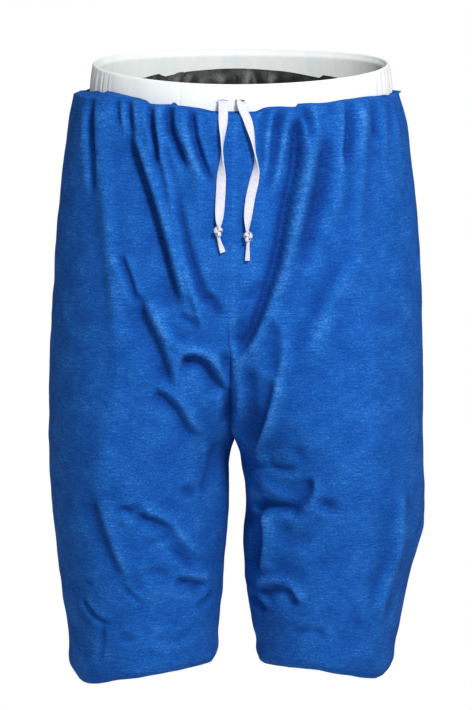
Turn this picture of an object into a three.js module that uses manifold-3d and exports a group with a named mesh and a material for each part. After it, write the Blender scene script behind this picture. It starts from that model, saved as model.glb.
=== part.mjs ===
// Padded impact shorts, shaped as if they were worn, in millimetres with +Z up.
// The wearer faces -Y, and the wearer's left leg is on +X. The origin is the centre of the
// waist opening, level with the waistband's rim at the hips. Every fabric panel is a thin
// closed shell, sewn edges meet with a small gap, and foam pads sit in pockets between the
// outer shell and the lining.
import * as THREE from "three";
import { mergeVertices } from "three/addons/utils/BufferGeometryUtils.js";
import Module from "manifold-3d";

const wasm = await Module();
wasm.setup();

const { lerp, smoothstep } = THREE.MathUtils;
const RIGHT = -1;
const LEFT = 1;
const SEAM_GAP = 0.3;

// The waistband: half-axes of its outer face at the rim, and how it is layered.
const BAND_HALF_WIDTH = 147;
const BAND_HALF_DEPTH = 97;
const BAND_FLARE = 3;
const BAND_HEIGHT = 27;
const BAND_INNER_HEIGHT = 22.3;
const BAND_THICKNESS = 6;
const BAND_CLOTH = 1.2;
const BAND_STEPS = 40;
const RIM_TILT = 9;
const RIM_DIP = 4;

// The drawstring: a flat tape that leaves the waistband through two buttonholes.
const TAPE_WIDTH = 8;
const TAPE_THICKNESS = 1.4;
const FRONT_MIDDLE = -4.5;
const HOLE_OFFSET = 8.5;
const HOLE_BELOW_RIM = 16;
const HOLE_WIDTH = 10;
const HOLE_HEIGHT = 3;

// The fabric layers, as distances in from the outer surface of the shell.
const SHELL_CLOTH = 1.8;
const POCKET_INSET = 5;
const POCKET_CLOTH = 0.8;
const PAD_INSET = 7.6;
const PAD_THICKNESS = 8;
const LINING_CLOTH = 1.2;

const SHELL_TOP = -BAND_HEIGHT - SEAM_GAP;
const LINING_TOP = -BAND_INNER_HEIGHT - SEAM_GAP;
const HEM = -606;
const HEM_SLOPE = 9;
const FACING_HEIGHT = 18;
const PANEL_COLUMNS = 9;

// A smooth curve through knots of [height, value], from the highest down.
function through(knots) {
  const slope = (i) => {
    const [a, b] = [knots[Math.max(i - 1, 0)], knots[Math.min(i + 1, knots.length - 1)]];
    return (b[1] - a[1]) / (b[0] - a[0]);
  };
  return (height) => {
    const at = THREE.MathUtils.clamp(height, knots.at(-1)[0], knots[0][0]);
    const i = Math.min(knots.findIndex((k, n) => n > 0 && at >= k[0]) - 1, knots.length - 2);
    const [[h0, v0], [h1, v1]] = [knots[i], knots[i + 1]];
    const span = h1 - h0;
    const t = (at - h0) / span;
    return (
      v0 * (1 + 2 * t) * (1 - t) ** 2 +
      slope(i) * span * t * (1 - t) ** 2 +
      v1 * t * t * (3 - 2 * t) +
      slope(i + 1) * span * t * t * (t - 1)
    );
  };
}

// How far the outside of the hip and leg is from the middle plane.
const reach = through([
  [-22, 160], [-31, 161], [-66, 168], [-157, 179.5], [-247, 184.5], [-338, 187],
  [-383, 187], [-458, 183.5], [-519, 172.5], [-579, 161.5], [-596, 157], [HEM, 148],
]);
// The middle of one leg's oval. At the waist the two ovals are one.
const centre = through([
  [-22, 0], [-31, 0], [-100, 4], [-165, 14], [-230, 32], [-300, 62], [-350, 84],
  [-385, 97], [-428, 98], [-489, 94.5], [-549, 91], [HEM, 90.5],
]);
const frontDepth = through([
  [-22, 110], [-31, 110.5], [-215, 126], [-300, 127], [-385, 120], [-450, 110],
  [-520, 102], [-579, 94], [-596, 90], [HEM, 79],
]);
const seat = (height) => 10 * Math.exp(-(((height + 210) / 110) ** 2));
// The shell is gathered in under the waistband, and springs out just below it.
const shellInset = through([[SHELL_TOP, 9.5], [-29.5, 3.5], [-34, 0.8], [-45, 0]]);
const liningInset = through([
  [LINING_TOP, 15], [-40, 17], [-500, 17], [-560, 11], [HEM + FACING_HEIGHT, 8.6],
]);

// The rim rises to the back and dips a little at front and back: face is -1 in front, 1 behind.
const rimHeight = (face) => RIM_TILT * face - RIM_DIP * face * face;

// A point on one leg's oval. turn runs from the inseam over the front, the side and the back.
function legPoint(side, turn, height, inset) {
  const depth = frontDepth(height) + (turn > Math.PI ? seat(height) : 0) - inset;
  const width = reach(height) - centre(height) - inset;
  const rimShare = smoothstep(height, -200, -BAND_HEIGHT);
  const hemShare = 1 - smoothstep(height, -596, -480);
  return new THREE.Vector3(
    side * (centre(height) - width * Math.cos(turn)),
    -depth * Math.sin(turn),
    height + rimHeight(-Math.sin(turn)) * rimShare + HEM_SLOPE * Math.cos(turn) * hemShare,
  );
}

// Where a leg's oval starts: at the middle plane above the crotch, and at the inseam below it.
function firstTurn(height, inset) {
  const width = reach(height) - centre(height) - inset;
  const middle = Math.acos(Math.min(1, (centre(height) - SEAM_GAP / 2) / width));
  return Math.max(middle, seamTurn(height, inset));
}
const seamTurn = (height, inset) => Math.asin(SEAM_GAP / 2 / (frontDepth(height) - inset));

// A closed solid between two grids of points with the same rows and columns.
function sheet(outer, inner) {
  const [rows, columns] = [outer.length, outer[0].length];
  const points = [...outer.flat(), ...inner.flat()];
  const index = [];
  const quad = (a, b, c, d) => index.push(a, b, c, a, c, d);
  const at = (layer, r, c) => (layer * rows + r) * columns + c;
  for (let r = 0; r < rows - 1; r++)
    for (let c = 0; c < columns - 1; c++) {
      quad(at(0, r, c), at(0, r + 1, c), at(0, r + 1, c + 1), at(0, r, c + 1));
      quad(at(1, r, c), at(1, r, c + 1), at(1, r + 1, c + 1), at(1, r + 1, c));
    }
  for (let c = 0; c < columns - 1; c++) {
    quad(at(0, 0, c), at(0, 0, c + 1), at(1, 0, c + 1), at(1, 0, c));
    const r = rows - 1;
    quad(at(0, r, c + 1), at(0, r, c), at(1, r, c), at(1, r, c + 1));
  }
  for (let r = 0; r < rows - 1; r++) {
    quad(at(0, r + 1, 0), at(0, r, 0), at(1, r, 0), at(1, r + 1, 0));
    const c = columns - 1;
    quad(at(0, r, c), at(0, r + 1, c), at(1, r + 1, c), at(1, r, c));
  }
  return solid(points, index);
}

// A closed solid through equal rings of points: a hoop, or a bar with flat ends.
function bar(rings, { hoop = false } = {}) {
  const size = rings[0].length;
  const index = [];
  const last = hoop ? rings.length : rings.length - 1;
  for (let r = 0; r < last; r++)
    for (let i = 0; i < size; i++) {
      const [a, b] = [r * size + i, r * size + ((i + 1) % size)];
      const [c, d] = [((r + 1) % rings.length) * size + ((i + 1) % size), ((r + 1) % rings.length) * size + i];
      index.push(a, b, c, a, c, d);
    }
  if (!hoop)
    for (let i = 1; i < size - 1; i++) {
      index.push(0, i + 1, i);
      const end = (rings.length - 1) * size;
      index.push(end, end + i, end + i + 1);
    }
  return solid(rings.flat(), index);
}

// A geometry from points and triangles, with its faces turned outwards.
function solid(points, index) {
  let volume = 0;
  for (let i = 0; i < index.length; i += 3) {
    const [a, b, c] = [points[index[i]], points[index[i + 1]], points[index[i + 2]]];
    volume += a.dot(new THREE.Vector3().crossVectors(b, c));
  }
  if (volume < 0)
    for (let i = 0; i < index.length; i += 3)
      [index[i + 1], index[i + 2]] = [index[i + 2], index[i + 1]];
  const geometry = new THREE.BufferGeometry().setFromPoints(points);
  geometry.setIndex(index);
  geometry.computeVertexNormals();
  return geometry;
}

// The turns of a panel's columns: the front or the back half of one leg's oval.
function panelTurns(half, height, inset) {
  const seam = seamTurn(height, inset);
  const inseam = firstTurn(height, inset);
  const [from, to] =
    half === "front" ? [inseam, Math.PI - seam] : [Math.PI + seam, 2 * Math.PI - inseam];
  return Array.from({ length: PANEL_COLUMNS + 1 }, (_, c) => lerp(from, to, c / PANEL_COLUMNS));
}

// One panel of the shell or the lining: the front or the back half of one leg, hip included.
function panel(side, half, heights, insetAt, cloth) {
  const layer = (extra) =>
    heights.map((height) => {
      const inset = insetAt(height) + extra;
      return panelTurns(half, height, inset).map((turn) => legPoint(side, turn, height, inset));
    });
  return sheet(layer(0), layer(cloth));
}

// The turned-up hem of one leg: a hoop from the shell's lower edge up to the lining's.
function hemFacing(side) {
  const top = HEM + FACING_HEIGHT;
  const middle = lerp(HEM, top, 0.4);
  const [below, above] = [SHELL_CLOTH + 2 * SEAM_GAP, liningInset(top)];
  const section = [
    [HEM, below],
    [middle, above - 1.5],
    [top, above],
    [top, above + SHELL_CLOTH],
    [middle, above - 1.5 + SHELL_CLOTH],
    [HEM, below + SHELL_CLOTH],
  ];
  const turns = ["front", "back"].flatMap((half) => panelTurns(half, HEM, SHELL_CLOTH));
  const rings = turns.map((turn) => section.map(([height, inset]) => legPoint(side, turn, height, inset)));
  return bar(rings, { hoop: true });
}

// A point of the waistband, by angle from +X, depth in from its outer face and drop below the
// rim. The band is a hoop of flat facets, and points between two of its corners lie on a facet.
function bandPoint(angle, inset, drop) {
  const flare = BAND_FLARE * (drop / BAND_HEIGHT) - inset;
  const corner = (step) => {
    const at = (step / BAND_STEPS) * 2 * Math.PI;
    return new THREE.Vector3(
      (BAND_HALF_WIDTH + flare) * Math.cos(at),
      (BAND_HALF_DEPTH + flare) * Math.sin(at),
      rimHeight(Math.sin(at)) - drop,
    );
  };
  const steps = (angle / (2 * Math.PI)) * BAND_STEPS;
  return corner(Math.floor(steps)).lerp(corner(Math.ceil(steps)), steps - Math.floor(steps));
}

const bandAngle = (step) => (step / BAND_STEPS) * 2 * Math.PI;

function bandHoop(section) {
  const rings = Array.from({ length: BAND_STEPS }, (_, i) =>
    section.map(([inset, drop]) => bandPoint(bandAngle(i), inset, drop)),
  );
  return bar(rings, { hoop: true });
}

// The waistband is one strip folded over at the rim, with a buttonhole for each tape end.
function waistband() {
  const fold = 2;
  const inner = BAND_THICKNESS;
  const strip = bandHoop([
    [0, BAND_HEIGHT], [0, fold], [fold, 0], [inner - fold, 0], [inner, fold],
    [inner, BAND_INNER_HEIGHT], [inner - BAND_CLOTH, BAND_INNER_HEIGHT],
    [inner - BAND_CLOTH, fold + 0.5], [inner - fold - 0.3, BAND_CLOTH],
    [fold + 0.3, BAND_CLOTH], [BAND_CLOTH, fold + 0.5], [BAND_CLOTH, BAND_HEIGHT],
  ]);
  let cut = toManifold(strip);
  for (const side of [RIGHT, LEFT]) {
    const slit = new THREE.BoxGeometry(HOLE_WIDTH, 3 * BAND_CLOTH, HOLE_HEIGHT);
    slit.translate(holeAcross(side), -bandFront(HOLE_BELOW_RIM) + 0.7 * BAND_CLOTH, holeHeight());
    cut = cut.subtract(toManifold(slit));
  }
  return fromManifold(cut);
}

const bandFront = (drop) => BAND_HALF_DEPTH + BAND_FLARE * (drop / BAND_HEIGHT);
const holeHeight = () => rimHeight(-1) - HOLE_BELOW_RIM;
const holeAcross = (side) => FRONT_MIDDLE + side * HOLE_OFFSET;

// The elastic inside the waistband, between the drawstring and the inner layer.
function waistElastic() {
  const [outside, inside] = [3.1, 4.3];
  const [top, bottom] = [3, 22];
  return bandHoop([[outside, top], [inside, top], [inside, bottom], [outside, bottom]]);
}

// The hidden stretch of the drawstring, which runs behind the outer layer from one buttonhole
// round the back to the other.
function drawstringRun() {
  const [outside, inside] = [1.5, 2.7];
  const top = HOLE_BELOW_RIM - TAPE_WIDTH / 2;
  const section = [[outside, top], [inside, top], [inside, top + TAPE_WIDTH], [outside, top + TAPE_WIDTH]];
  const end = (side) => Math.asin((Math.abs(holeAcross(side)) + 5.5) / BAND_HALF_WIDTH);
  const angles = Array.from({ length: BAND_STEPS - 1 }, (_, i) => bandAngle(1 + i - BAND_STEPS / 4));
  const front = -Math.PI / 2;
  const rings = [front + end(LEFT), ...angles, front + 2 * Math.PI - end(RIGHT)].map((angle) =>
    section.map(([inset, drop]) => bandPoint(angle, inset, drop)),
  );
  return bar(rings);
}

function toManifold(geometry) {
  const bare = geometry.clone();
  bare.deleteAttribute("normal");
  bare.deleteAttribute("uv");
  const merged = mergeVertices(bare, 1e-4);
  const mesh = new wasm.Mesh({
    numProp: 3,
    vertProperties: merged.attributes.position.array,
    triVerts: new Uint32Array(merged.index.array),
  });
  return new wasm.Manifold(mesh);
}

function fromManifold(manifold) {
  const { vertProperties, triVerts } = manifold.getMesh();
  const geometry = new THREE.BufferGeometry();
  geometry.setAttribute("position", new THREE.BufferAttribute(vertProperties, 3));
  geometry.setIndex(new THREE.BufferAttribute(triVerts, 1));
  geometry.computeVertexNormals();
  return geometry;
}

// The stitched edge of a buttonhole: a flat oval ring in front of the waistband.
function buttonholeStitching(side) {
  const oval = (halfWidth, halfHeight, Kind) => {
    const path = new Kind();
    path.absellipse(0, 0, halfWidth, halfHeight, 0, 2 * Math.PI, false);
    return path;
  };
  const ring = oval(HOLE_WIDTH / 2 + 2, HOLE_HEIGHT / 2 + 1.9, THREE.Shape);
  ring.holes.push(oval(HOLE_WIDTH / 2 + 0.6, HOLE_HEIGHT / 2 + 0.6, THREE.Path));
  const geometry = new THREE.ExtrudeGeometry(ring, { depth: 0.8, bevelEnabled: false, curveSegments: 14 });
  geometry.rotateX(Math.PI / 2);
  geometry.translate(holeAcross(side), -bandFront(HOLE_BELOW_RIM + 4) - 0.2, holeHeight());
  return geometry;
}

// The tape ends: where each leaves its buttonhole, and how it hangs over the front of the shell.
const TAPE_ROUTES = {
  [RIGHT]: [
    [-13, -97.3, -29], [-13, -100.6, -29.2], [-12.6, -104.6, -31.5], [-12.4, -109.2, -37.5],
    [-12.6, -113.2, -50], [-13.2, -115, -66], [-13.7, -116.4, -83], [-14.2, -118.2, -99],
    [-14.8, -119.8, -115], [-15.8, -122, -133], [-16.6, -124.2, -147.5],
  ],
  [LEFT]: [
    [4, -97.3, -29], [4.1, -100.6, -29.2], [5, -104.6, -31.5], [7.2, -109.2, -37.5],
    [11.6, -113, -48], [16, -115, -66], [18.4, -116.8, -87], [15.8, -118.8, -104],
    [12.6, -120.4, -119], [10.4, -122.4, -138], [9.9, -124.6, -152.5],
  ],
};

function tapeSection(width, thickness) {
  const section = new THREE.Shape();
  section.absellipse(0, 0, width / 2, thickness / 2, 0, 2 * Math.PI, false);
  return section;
}

function sweptTape(points, steps, width, thickness) {
  const path = new THREE.CatmullRomCurve3(points.map((p) => new THREE.Vector3(...p)));
  const sides = 4;
  return new THREE.ExtrudeGeometry(tapeSection(width, thickness), {
    steps,
    curveSegments: sides * 2,
    bevelEnabled: false,
    extrudePath: path,
  });
}

const drawstringTail = (side) => sweptTape(TAPE_ROUTES[side], 26, TAPE_WIDTH, TAPE_THICKNESS);

// The overhand knot below each tape end, and the short tip that leaves it.
const KNOT_HALF = new THREE.Vector3(4.5, 4.4, 5.6);
function knotCentre(side) {
  const end = TAPE_ROUTES[side].at(-1);
  return new THREE.Vector3(end[0] + side * 0.6, end[1] - 2.3, end[2] - KNOT_HALF.z - 2 * SEAM_GAP);
}
function drawstringKnot(side) {
  const geometry = new THREE.SphereGeometry(1, 10, 8);
  geometry.rotateX(Math.PI / 2);
  geometry.scale(KNOT_HALF.x, KNOT_HALF.y, KNOT_HALF.z);
  const middle = knotCentre(side);
  geometry.translate(middle.x, middle.y, middle.z);
  return geometry;
}
function drawstringTip(side) {
  const { x, y, z } = knotCentre(side);
  const top = z - KNOT_HALF.z - SEAM_GAP;
  const length = side === RIGHT ? 15 : 18;
  const lean = side === RIGHT ? 3 : 0.5;
  const points = [[x, y, top], [x + lean * 0.3, y - 0.3, top - length / 2], [x + lean, y - 0.8, top - length]];
  return sweptTape(points, 4, 4.4, 2.2);
}

// A patch of cloth or foam over part of one leg: its middle, its half sizes in millimetres, and
// its two faces as distances in from the outer surface, each from 0 in the middle to 1 at the rim.
function patch(surface, halfAcross, halfUp, outerAt, innerAt, cells) {
  const layer = (insetAt) =>
    Array.from({ length: cells + 1 }, (_, r) =>
      Array.from({ length: cells + 1 }, (_, c) => {
        const [p, q] = [(2 * c) / cells - 1, 1 - (2 * r) / cells];
        const roundness = 0.6;
        const across = p * lerp(1, Math.sqrt(1 - (q * q) / 2), roundness);
        const up = q * lerp(1, Math.sqrt(1 - (p * p) / 2), roundness);
        const rim = Math.max(Math.abs(p), Math.abs(q));
        return surface(across * halfAcross, up * halfUp, insetAt(rim));
      }),
    );
  return sheet(layer(outerAt), layer(innerAt));
}

// Lays a patch on one leg, round the turn that its middle has.
const onLeg = (side, turn, height) => (across, up, inset) => {
  const around = new THREE.Vector3().subVectors(
    legPoint(side, turn + 0.05, height, inset),
    legPoint(side, turn - 0.05, height, inset),
  );
  return legPoint(side, turn + (across * 0.1) / around.length(), height + up, inset);
};
// Lays a patch across the centre back, where both legs' ovals meet.
const onBack = (height) => (across, up, inset) => {
  const h = height + up;
  const width = reach(h) - centre(h) - inset;
  const share = Math.max(0, Math.abs(across) - centre(h)) / width;
  const depth = frontDepth(h) + seat(h) - inset;
  return new THREE.Vector3(across, depth * Math.sqrt(1 - share * share), h + 3 * smoothstep(h, -200, -30));
};

const POCKET_MARGIN = 22;
const PAD_CELLS = 6;
const POCKET_CELLS = 8;
const padOuter = () => PAD_INSET;
const padInner = (rim) => PAD_INSET + PAD_THICKNESS * (1 - 0.75 * rim ** 4);
const POCKET_EDGE_INSET = 14.2;
const pocketOuter = (rim) => lerp(POCKET_INSET, POCKET_EDGE_INSET, smoothstep(rim, 0.76, 1));
const pocketInner = (rim) => pocketOuter(rim) + POCKET_CLOTH;

function padWithPocket(name, surface, halfAcross, halfUp) {
  const pad = patch(surface, halfAcross, halfUp, padOuter, padInner, PAD_CELLS);
  const pocket = patch(
    surface, halfAcross + POCKET_MARGIN, halfUp + POCKET_MARGIN, pocketOuter, pocketInner, POCKET_CELLS,
  );
  return [
    [`${name}_pad`, pad, materials.foam],
    [`${name}_pad_pocket`, pocket, materials.pocketMesh],
  ];
}

const material = (name, color, roughness) =>
  new THREE.MeshStandardMaterial({ name, color, roughness, metalness: 0 });
const materials = {
  shell: material("shell_knit", 0x1c57ab, 0.95),
  band: material("waistband_rib", 0xf4f6f8, 0.85),
  tape: material("drawstring_tape", 0xe9e8f4, 0.8),
  lining: material("lining_fabric", 0x2e3232, 0.55),
  foam: material("foam", 0x30343a, 0.9),
  pocketMesh: material("pocket_mesh", 0x22262a, 0.8),
  elastic: material("elastic", 0xf0f0ee, 0.7),
  thread: material("thread", 0xe4e6ea, 0.7),
};

const SHELL_ROWS = [
  SHELL_TOP, -29.5, -34, -46, -80, -140, -200, -255, -300, -334, -357, -369, -377, -386,
  -410, -455, -505, -550, -579, -596, HEM,
];
const LINING_ROWS = [
  LINING_TOP, -40, -90, -150, -210, -260, -300, -325, -343, -356, -372, -410, -460, -505,
  -550, HEM + FACING_HEIGHT + SEAM_GAP,
];

const shorts = new THREE.Group();
const sideName = { [RIGHT]: "right", [LEFT]: "left" };

function add(name, geometry, finish) {
  const mesh = new THREE.Mesh(geometry, finish);
  mesh.name = name;
  shorts.add(mesh);
}

add("waistband", waistband(), materials.band);
add("waist_elastic", waistElastic(), materials.elastic);
add("drawstring_run", drawstringRun(), materials.tape);
for (const side of [RIGHT, LEFT]) {
  const name = sideName[side];
  for (const half of ["front", "back"]) {
    add(`shell_${half}_${name}`, panel(side, half, SHELL_ROWS, shellInset, SHELL_CLOTH), materials.shell);
    add(`lining_${half}_${name}`, panel(side, half, LINING_ROWS, liningInset, LINING_CLOTH), materials.lining);
  }
  add(`hem_facing_${name}`, hemFacing(side), materials.shell);
  add(`buttonhole_${name}`, buttonholeStitching(side), materials.thread);
  add(`drawstring_tail_${name}`, drawstringTail(side), materials.tape);
  add(`drawstring_knot_${name}`, drawstringKnot(side), materials.tape);
  add(`drawstring_tip_${name}`, drawstringTip(side), materials.tape);
  for (const made of [
    ...padWithPocket(`hip_${name}`, onLeg(side, Math.PI, -180), 54, 78),
    ...padWithPocket(`thigh_${name}`, onLeg(side, 0.8 * Math.PI, -404), 50, 72),
    ...padWithPocket(`seat_${name}`, onLeg(side, 1.37 * Math.PI, -277), 46, 52),
  ])
    add(...made);
}
for (const made of padWithPocket("tailbone", onBack(-132), 36, 46)) add(...made);

export default shorts;
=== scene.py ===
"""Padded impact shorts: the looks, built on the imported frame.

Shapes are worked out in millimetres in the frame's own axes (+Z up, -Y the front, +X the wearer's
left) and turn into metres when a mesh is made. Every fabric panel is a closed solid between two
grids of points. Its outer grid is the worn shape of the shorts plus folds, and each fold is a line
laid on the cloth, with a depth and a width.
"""

import math

import bpy
import numpy as np
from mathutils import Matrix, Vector, noise


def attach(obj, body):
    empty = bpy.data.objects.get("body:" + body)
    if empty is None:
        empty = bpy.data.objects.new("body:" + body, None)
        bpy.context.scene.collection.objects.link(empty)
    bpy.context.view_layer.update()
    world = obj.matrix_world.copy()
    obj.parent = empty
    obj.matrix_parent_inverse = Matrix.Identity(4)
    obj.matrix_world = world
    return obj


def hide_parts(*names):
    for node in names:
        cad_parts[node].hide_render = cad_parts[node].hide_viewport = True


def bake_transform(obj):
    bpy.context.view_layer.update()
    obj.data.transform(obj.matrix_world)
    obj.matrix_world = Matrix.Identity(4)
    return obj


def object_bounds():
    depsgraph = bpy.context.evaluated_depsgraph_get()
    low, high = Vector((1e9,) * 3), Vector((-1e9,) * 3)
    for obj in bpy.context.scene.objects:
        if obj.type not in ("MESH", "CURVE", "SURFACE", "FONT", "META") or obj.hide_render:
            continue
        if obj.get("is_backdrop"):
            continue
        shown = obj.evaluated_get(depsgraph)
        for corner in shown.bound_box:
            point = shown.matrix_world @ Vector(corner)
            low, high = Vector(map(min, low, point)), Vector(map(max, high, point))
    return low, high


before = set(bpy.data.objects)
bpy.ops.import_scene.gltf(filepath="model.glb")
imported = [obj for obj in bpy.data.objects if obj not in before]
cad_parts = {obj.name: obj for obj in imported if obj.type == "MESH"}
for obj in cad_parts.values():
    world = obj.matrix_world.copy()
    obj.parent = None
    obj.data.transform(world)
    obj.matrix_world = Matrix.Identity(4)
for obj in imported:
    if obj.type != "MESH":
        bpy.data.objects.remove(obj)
cad_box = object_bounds()

RIGHT, LEFT = -1, 1
SIDES = (RIGHT, LEFT)
SIDE_NAME = {RIGHT: "right", LEFT: "left"}
TAU = 2 * math.pi
MM = 0.001
BRINK = 1e-9  # keeps a division or an index off the end of its range

# -------- Camera: far off with a long lens, and a little above the middle of the shorts.
VIEW_DISTANCE = 5.0
VIEW_ELEVATION = math.radians(8)
VIEW_HEIGHT = 0.710
VIEW_MIDDLE = Vector((0, 0, -0.2925))
SENSOR = 36.0


def add_camera():
    """The camera, facing the middle of the shorts so that its view is VIEW_HEIGHT metres high."""
    camera = bpy.data.cameras.new("camera")
    camera.sensor_width = SENSOR
    camera.lens = SENSOR * VIEW_DISTANCE / VIEW_HEIGHT
    camera.clip_end = 40
    holder = bpy.data.objects.new("camera", camera)
    towards = Vector((0, math.cos(VIEW_ELEVATION), -math.sin(VIEW_ELEVATION)))
    holder.location = VIEW_MIDDLE - VIEW_DISTANCE * towards
    holder.rotation_euler = towards.to_track_quat("-Z", "Y").to_euler()
    bpy.context.scene.collection.objects.link(holder)
    bpy.context.scene.camera = holder


# -------- Numbers along a line, and noise.
def smoothstep(value, low, high):
    share = np.clip((np.asarray(value, float) - low) / (high - low), 0, 1)
    return share * share * (3 - 2 * share)


def lerp(a, b, share):
    return a + (b - a) * share


def bell(value, middle=0, width=1):
    """1 at the middle, falling off on both sides."""
    return np.exp(-(((value - middle) / width) ** 2))


def unit(vectors):
    return vectors / np.maximum(np.linalg.norm(vectors, axis=-1, keepdims=True), BRINK)


def square_to(vectors, line):
    """Unit vectors at right angles to the unit vectors of a line, as near as can be to vectors."""
    return unit(vectors - (vectors * line).sum(axis=-1, keepdims=True) * line)


def full_turn(count):
    return np.linspace(0, TAU, count, endpoint=False)


def running(steps):
    """The distance gone at each end of the steps, from 0."""
    return np.concatenate([[0], np.cumsum(steps)])


def through(*knots):
    """A smooth curve through knots of (height, value), from the highest down."""
    heights = np.array([k[0] for k in knots], float)
    values = np.array([k[1] for k in knots], float)
    before = np.maximum(np.arange(len(knots)) - 1, 0)
    after = np.minimum(np.arange(len(knots)) + 1, len(knots) - 1)
    slopes = (values[after] - values[before]) / (heights[after] - heights[before])

    def curve(height):
        at = np.clip(height, heights[-1], heights[0])
        first = np.clip(np.searchsorted(-heights, -at, side="right") - 1, 0, len(knots) - 2)
        span = heights[first + 1] - heights[first]
        t = (at - heights[first]) / span
        return (
            values[first] * (1 + 2 * t) * (1 - t) ** 2
            + slopes[first] * span * t * (1 - t) ** 2
            + values[first + 1] * t * t * (3 - 2 * t)
            + slopes[first + 1] * span * t * t * (t - 1)
        )

    return curve


def smooth_line(points, count):
    """Points on a Catmull-Rom curve through the given points."""
    points = np.asarray(points, float)
    ends = np.vstack([2 * points[0] - points[1], points, 2 * points[-1] - points[-2]])
    out = []
    for share in np.linspace(0, len(points) - 1 - BRINK, count):
        i, t = int(share), share - int(share)
        a, b, c, d = ends[i : i + 4]
        bend = (c - a) * t + (2 * a - 5 * b + 4 * c - d) * t**2 + (3 * b - a - 3 * c + d) * t**3
        out.append(b + 0.5 * bend)
    return np.array(out)


def noise_at(points, waves, octaves=1):
    """Perlin noise at points in millimetres. waves is how many fit in a metre, for each axis."""
    scaled = np.asarray(points, float) * MM * np.asarray(waves, float)
    flat = scaled.reshape(-1, 3).tolist()
    if octaves == 1:
        values = [noise.noise(p) for p in flat]
    else:
        values = [noise.fractal(p, 1.0, 2.0, octaves) for p in flat]
    return np.array(values).reshape(scaled.shape[:-1])


# -------- Meshes from grids and rings of points in millimetres.
def new_object(name, points, faces, uvs=None, sharp=50):
    """uvs, where given, hold one (u, v) in metres for each point."""
    mesh = bpy.data.meshes.new(name)
    mesh.from_pydata((np.asarray(points) * MM).tolist(), [], faces)
    mesh.update()
    mesh.shade_smooth()
    mesh.set_sharp_from_angle(angle=math.radians(sharp))
    if uvs is not None:
        layer = mesh.uv_layers.new(name="cloth")
        corners = np.empty(len(mesh.loops), dtype=np.int32)
        mesh.loops.foreach_get("vertex_index", corners)
        layer.data.foreach_set("uv", np.asarray(uvs, float)[corners].ravel())
    piece = bpy.data.objects.new(name, mesh)
    bpy.context.scene.collection.objects.link(piece)
    return piece


def grid_faces(rows, columns, offset=0, flip=False):
    """The four-sided faces of a grid whose first point has the index offset."""
    r, c = np.meshgrid(np.arange(rows - 1), np.arange(columns - 1), indexing="ij")
    a = (r * columns + c).ravel() + offset
    corners = [a, a + columns, a + columns + 1, a + 1]
    return np.stack(corners[::-1] if flip else corners, axis=1)


def grid_solid(name, outer, inner, uvs=None, sharp=50):
    """A closed solid between two grids of points of the same shape."""
    rows, columns = outer.shape[:2]
    count = rows * columns
    index = np.arange(count).reshape(rows, columns)
    border = np.concatenate([index[0, :-1], index[:-1, -1], index[-1, :0:-1], index[:0:-1, 0]])
    after = np.roll(border, -1)
    front = grid_faces(rows, columns)
    back = grid_faces(rows, columns, count, flip=True)
    rim = np.stack([border, after, after + count, border + count], axis=1)
    points = np.vstack([outer.reshape(-1, 3), inner.reshape(-1, 3)])
    normals = np.cross(points[front[:, 1]] - points[front[:, 0]], points[front[:, 2]] - points[front[:, 0]])
    outwards = (outer - inner).reshape(-1, 3)[front[:, 0]]
    faces = np.vstack([front, back, rim])
    if (normals * outwards).sum() < 0:
        faces = faces[:, ::-1]
    both = None if uvs is None else np.vstack([uvs.reshape(-1, 2)] * 2)
    return new_object(name, points, faces.tolist(), both, sharp)


def ring_faces(count, size, hoop=False, first=0):
    """Faces through count rings of points, with two flat ends last if the rings aren't a hoop."""
    ring, corner = np.meshgrid(np.arange(count if hoop else count - 1), np.arange(size), indexing="ij")
    ahead, beside = (ring + 1) % count, (corner + 1) % size
    corners = [ring * size + corner, ring * size + beside, ahead * size + beside, ahead * size + corner]
    faces = (np.stack([c.ravel() for c in corners], axis=1) + first).tolist()
    if not hoop:
        faces.append(list(range(first, first + size))[::-1])
        faces.append(list(range(first + (count - 1) * size, first + count * size)))
    return faces


def ring_solid(name, rings, hoop=False, uvs=None, sharp=50):
    """A closed solid through equal rings of points: a hoop, or a bar with flat ends."""
    rings = np.asarray(rings, float)
    points = rings.reshape(-1, 3)
    faces = ring_faces(*rings.shape[:2], hoop)
    sides = np.array(faces if hoop else faces[:-2])
    a, b, c, d = (points[sides[:, i]] for i in range(4))
    if (a * (np.cross(b, c) + np.cross(c, d))).sum() < 0:
        faces = [face[::-1] for face in faces]
    flat = None if uvs is None else np.asarray(uvs, float).reshape(-1, 2)
    return new_object(name, points, faces, flat, sharp)


def grid_normals(points, outwards):
    """Unit normals of a grid of points, on the same side as the rough directions outwards."""
    across = np.gradient(points, axis=1)
    down = np.gradient(points, axis=0)
    normals = unit(np.cross(across, down))
    facing = np.sign((normals * outwards).sum(axis=-1, keepdims=True))
    return normals * np.where(facing == 0, 1, facing)


# -------- The worn shape: the same driving dimensions and curves as the CAD model.
BAND_HALF_WIDTH, BAND_HALF_DEPTH = 147, 97
BAND_FLARE, BAND_HEIGHT, BAND_INNER_HEIGHT = 3, 27, 22.3
BAND_THICKNESS, BAND_CLOTH = 6, 1.2
RIM_TILT, RIM_DIP = 9, 4
TAPE_THICKNESS = 1.4
FRONT_MIDDLE, HOLE_OFFSET, HOLE_BELOW_RIM = -4.5, 8.5, 16
HOLE_WIDTH, HOLE_HEIGHT = 10, 3
SHELL_CLOTH, LINING_CLOTH = 1.8, 1.2
SEAM_GAP = 0.3
SHELL_TOP = -BAND_HEIGHT - SEAM_GAP
LINING_TOP = -BAND_INNER_HEIGHT - SEAM_GAP
HEM, HEM_SLOPE, FACING_HEIGHT = -606, 9, 18

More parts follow.
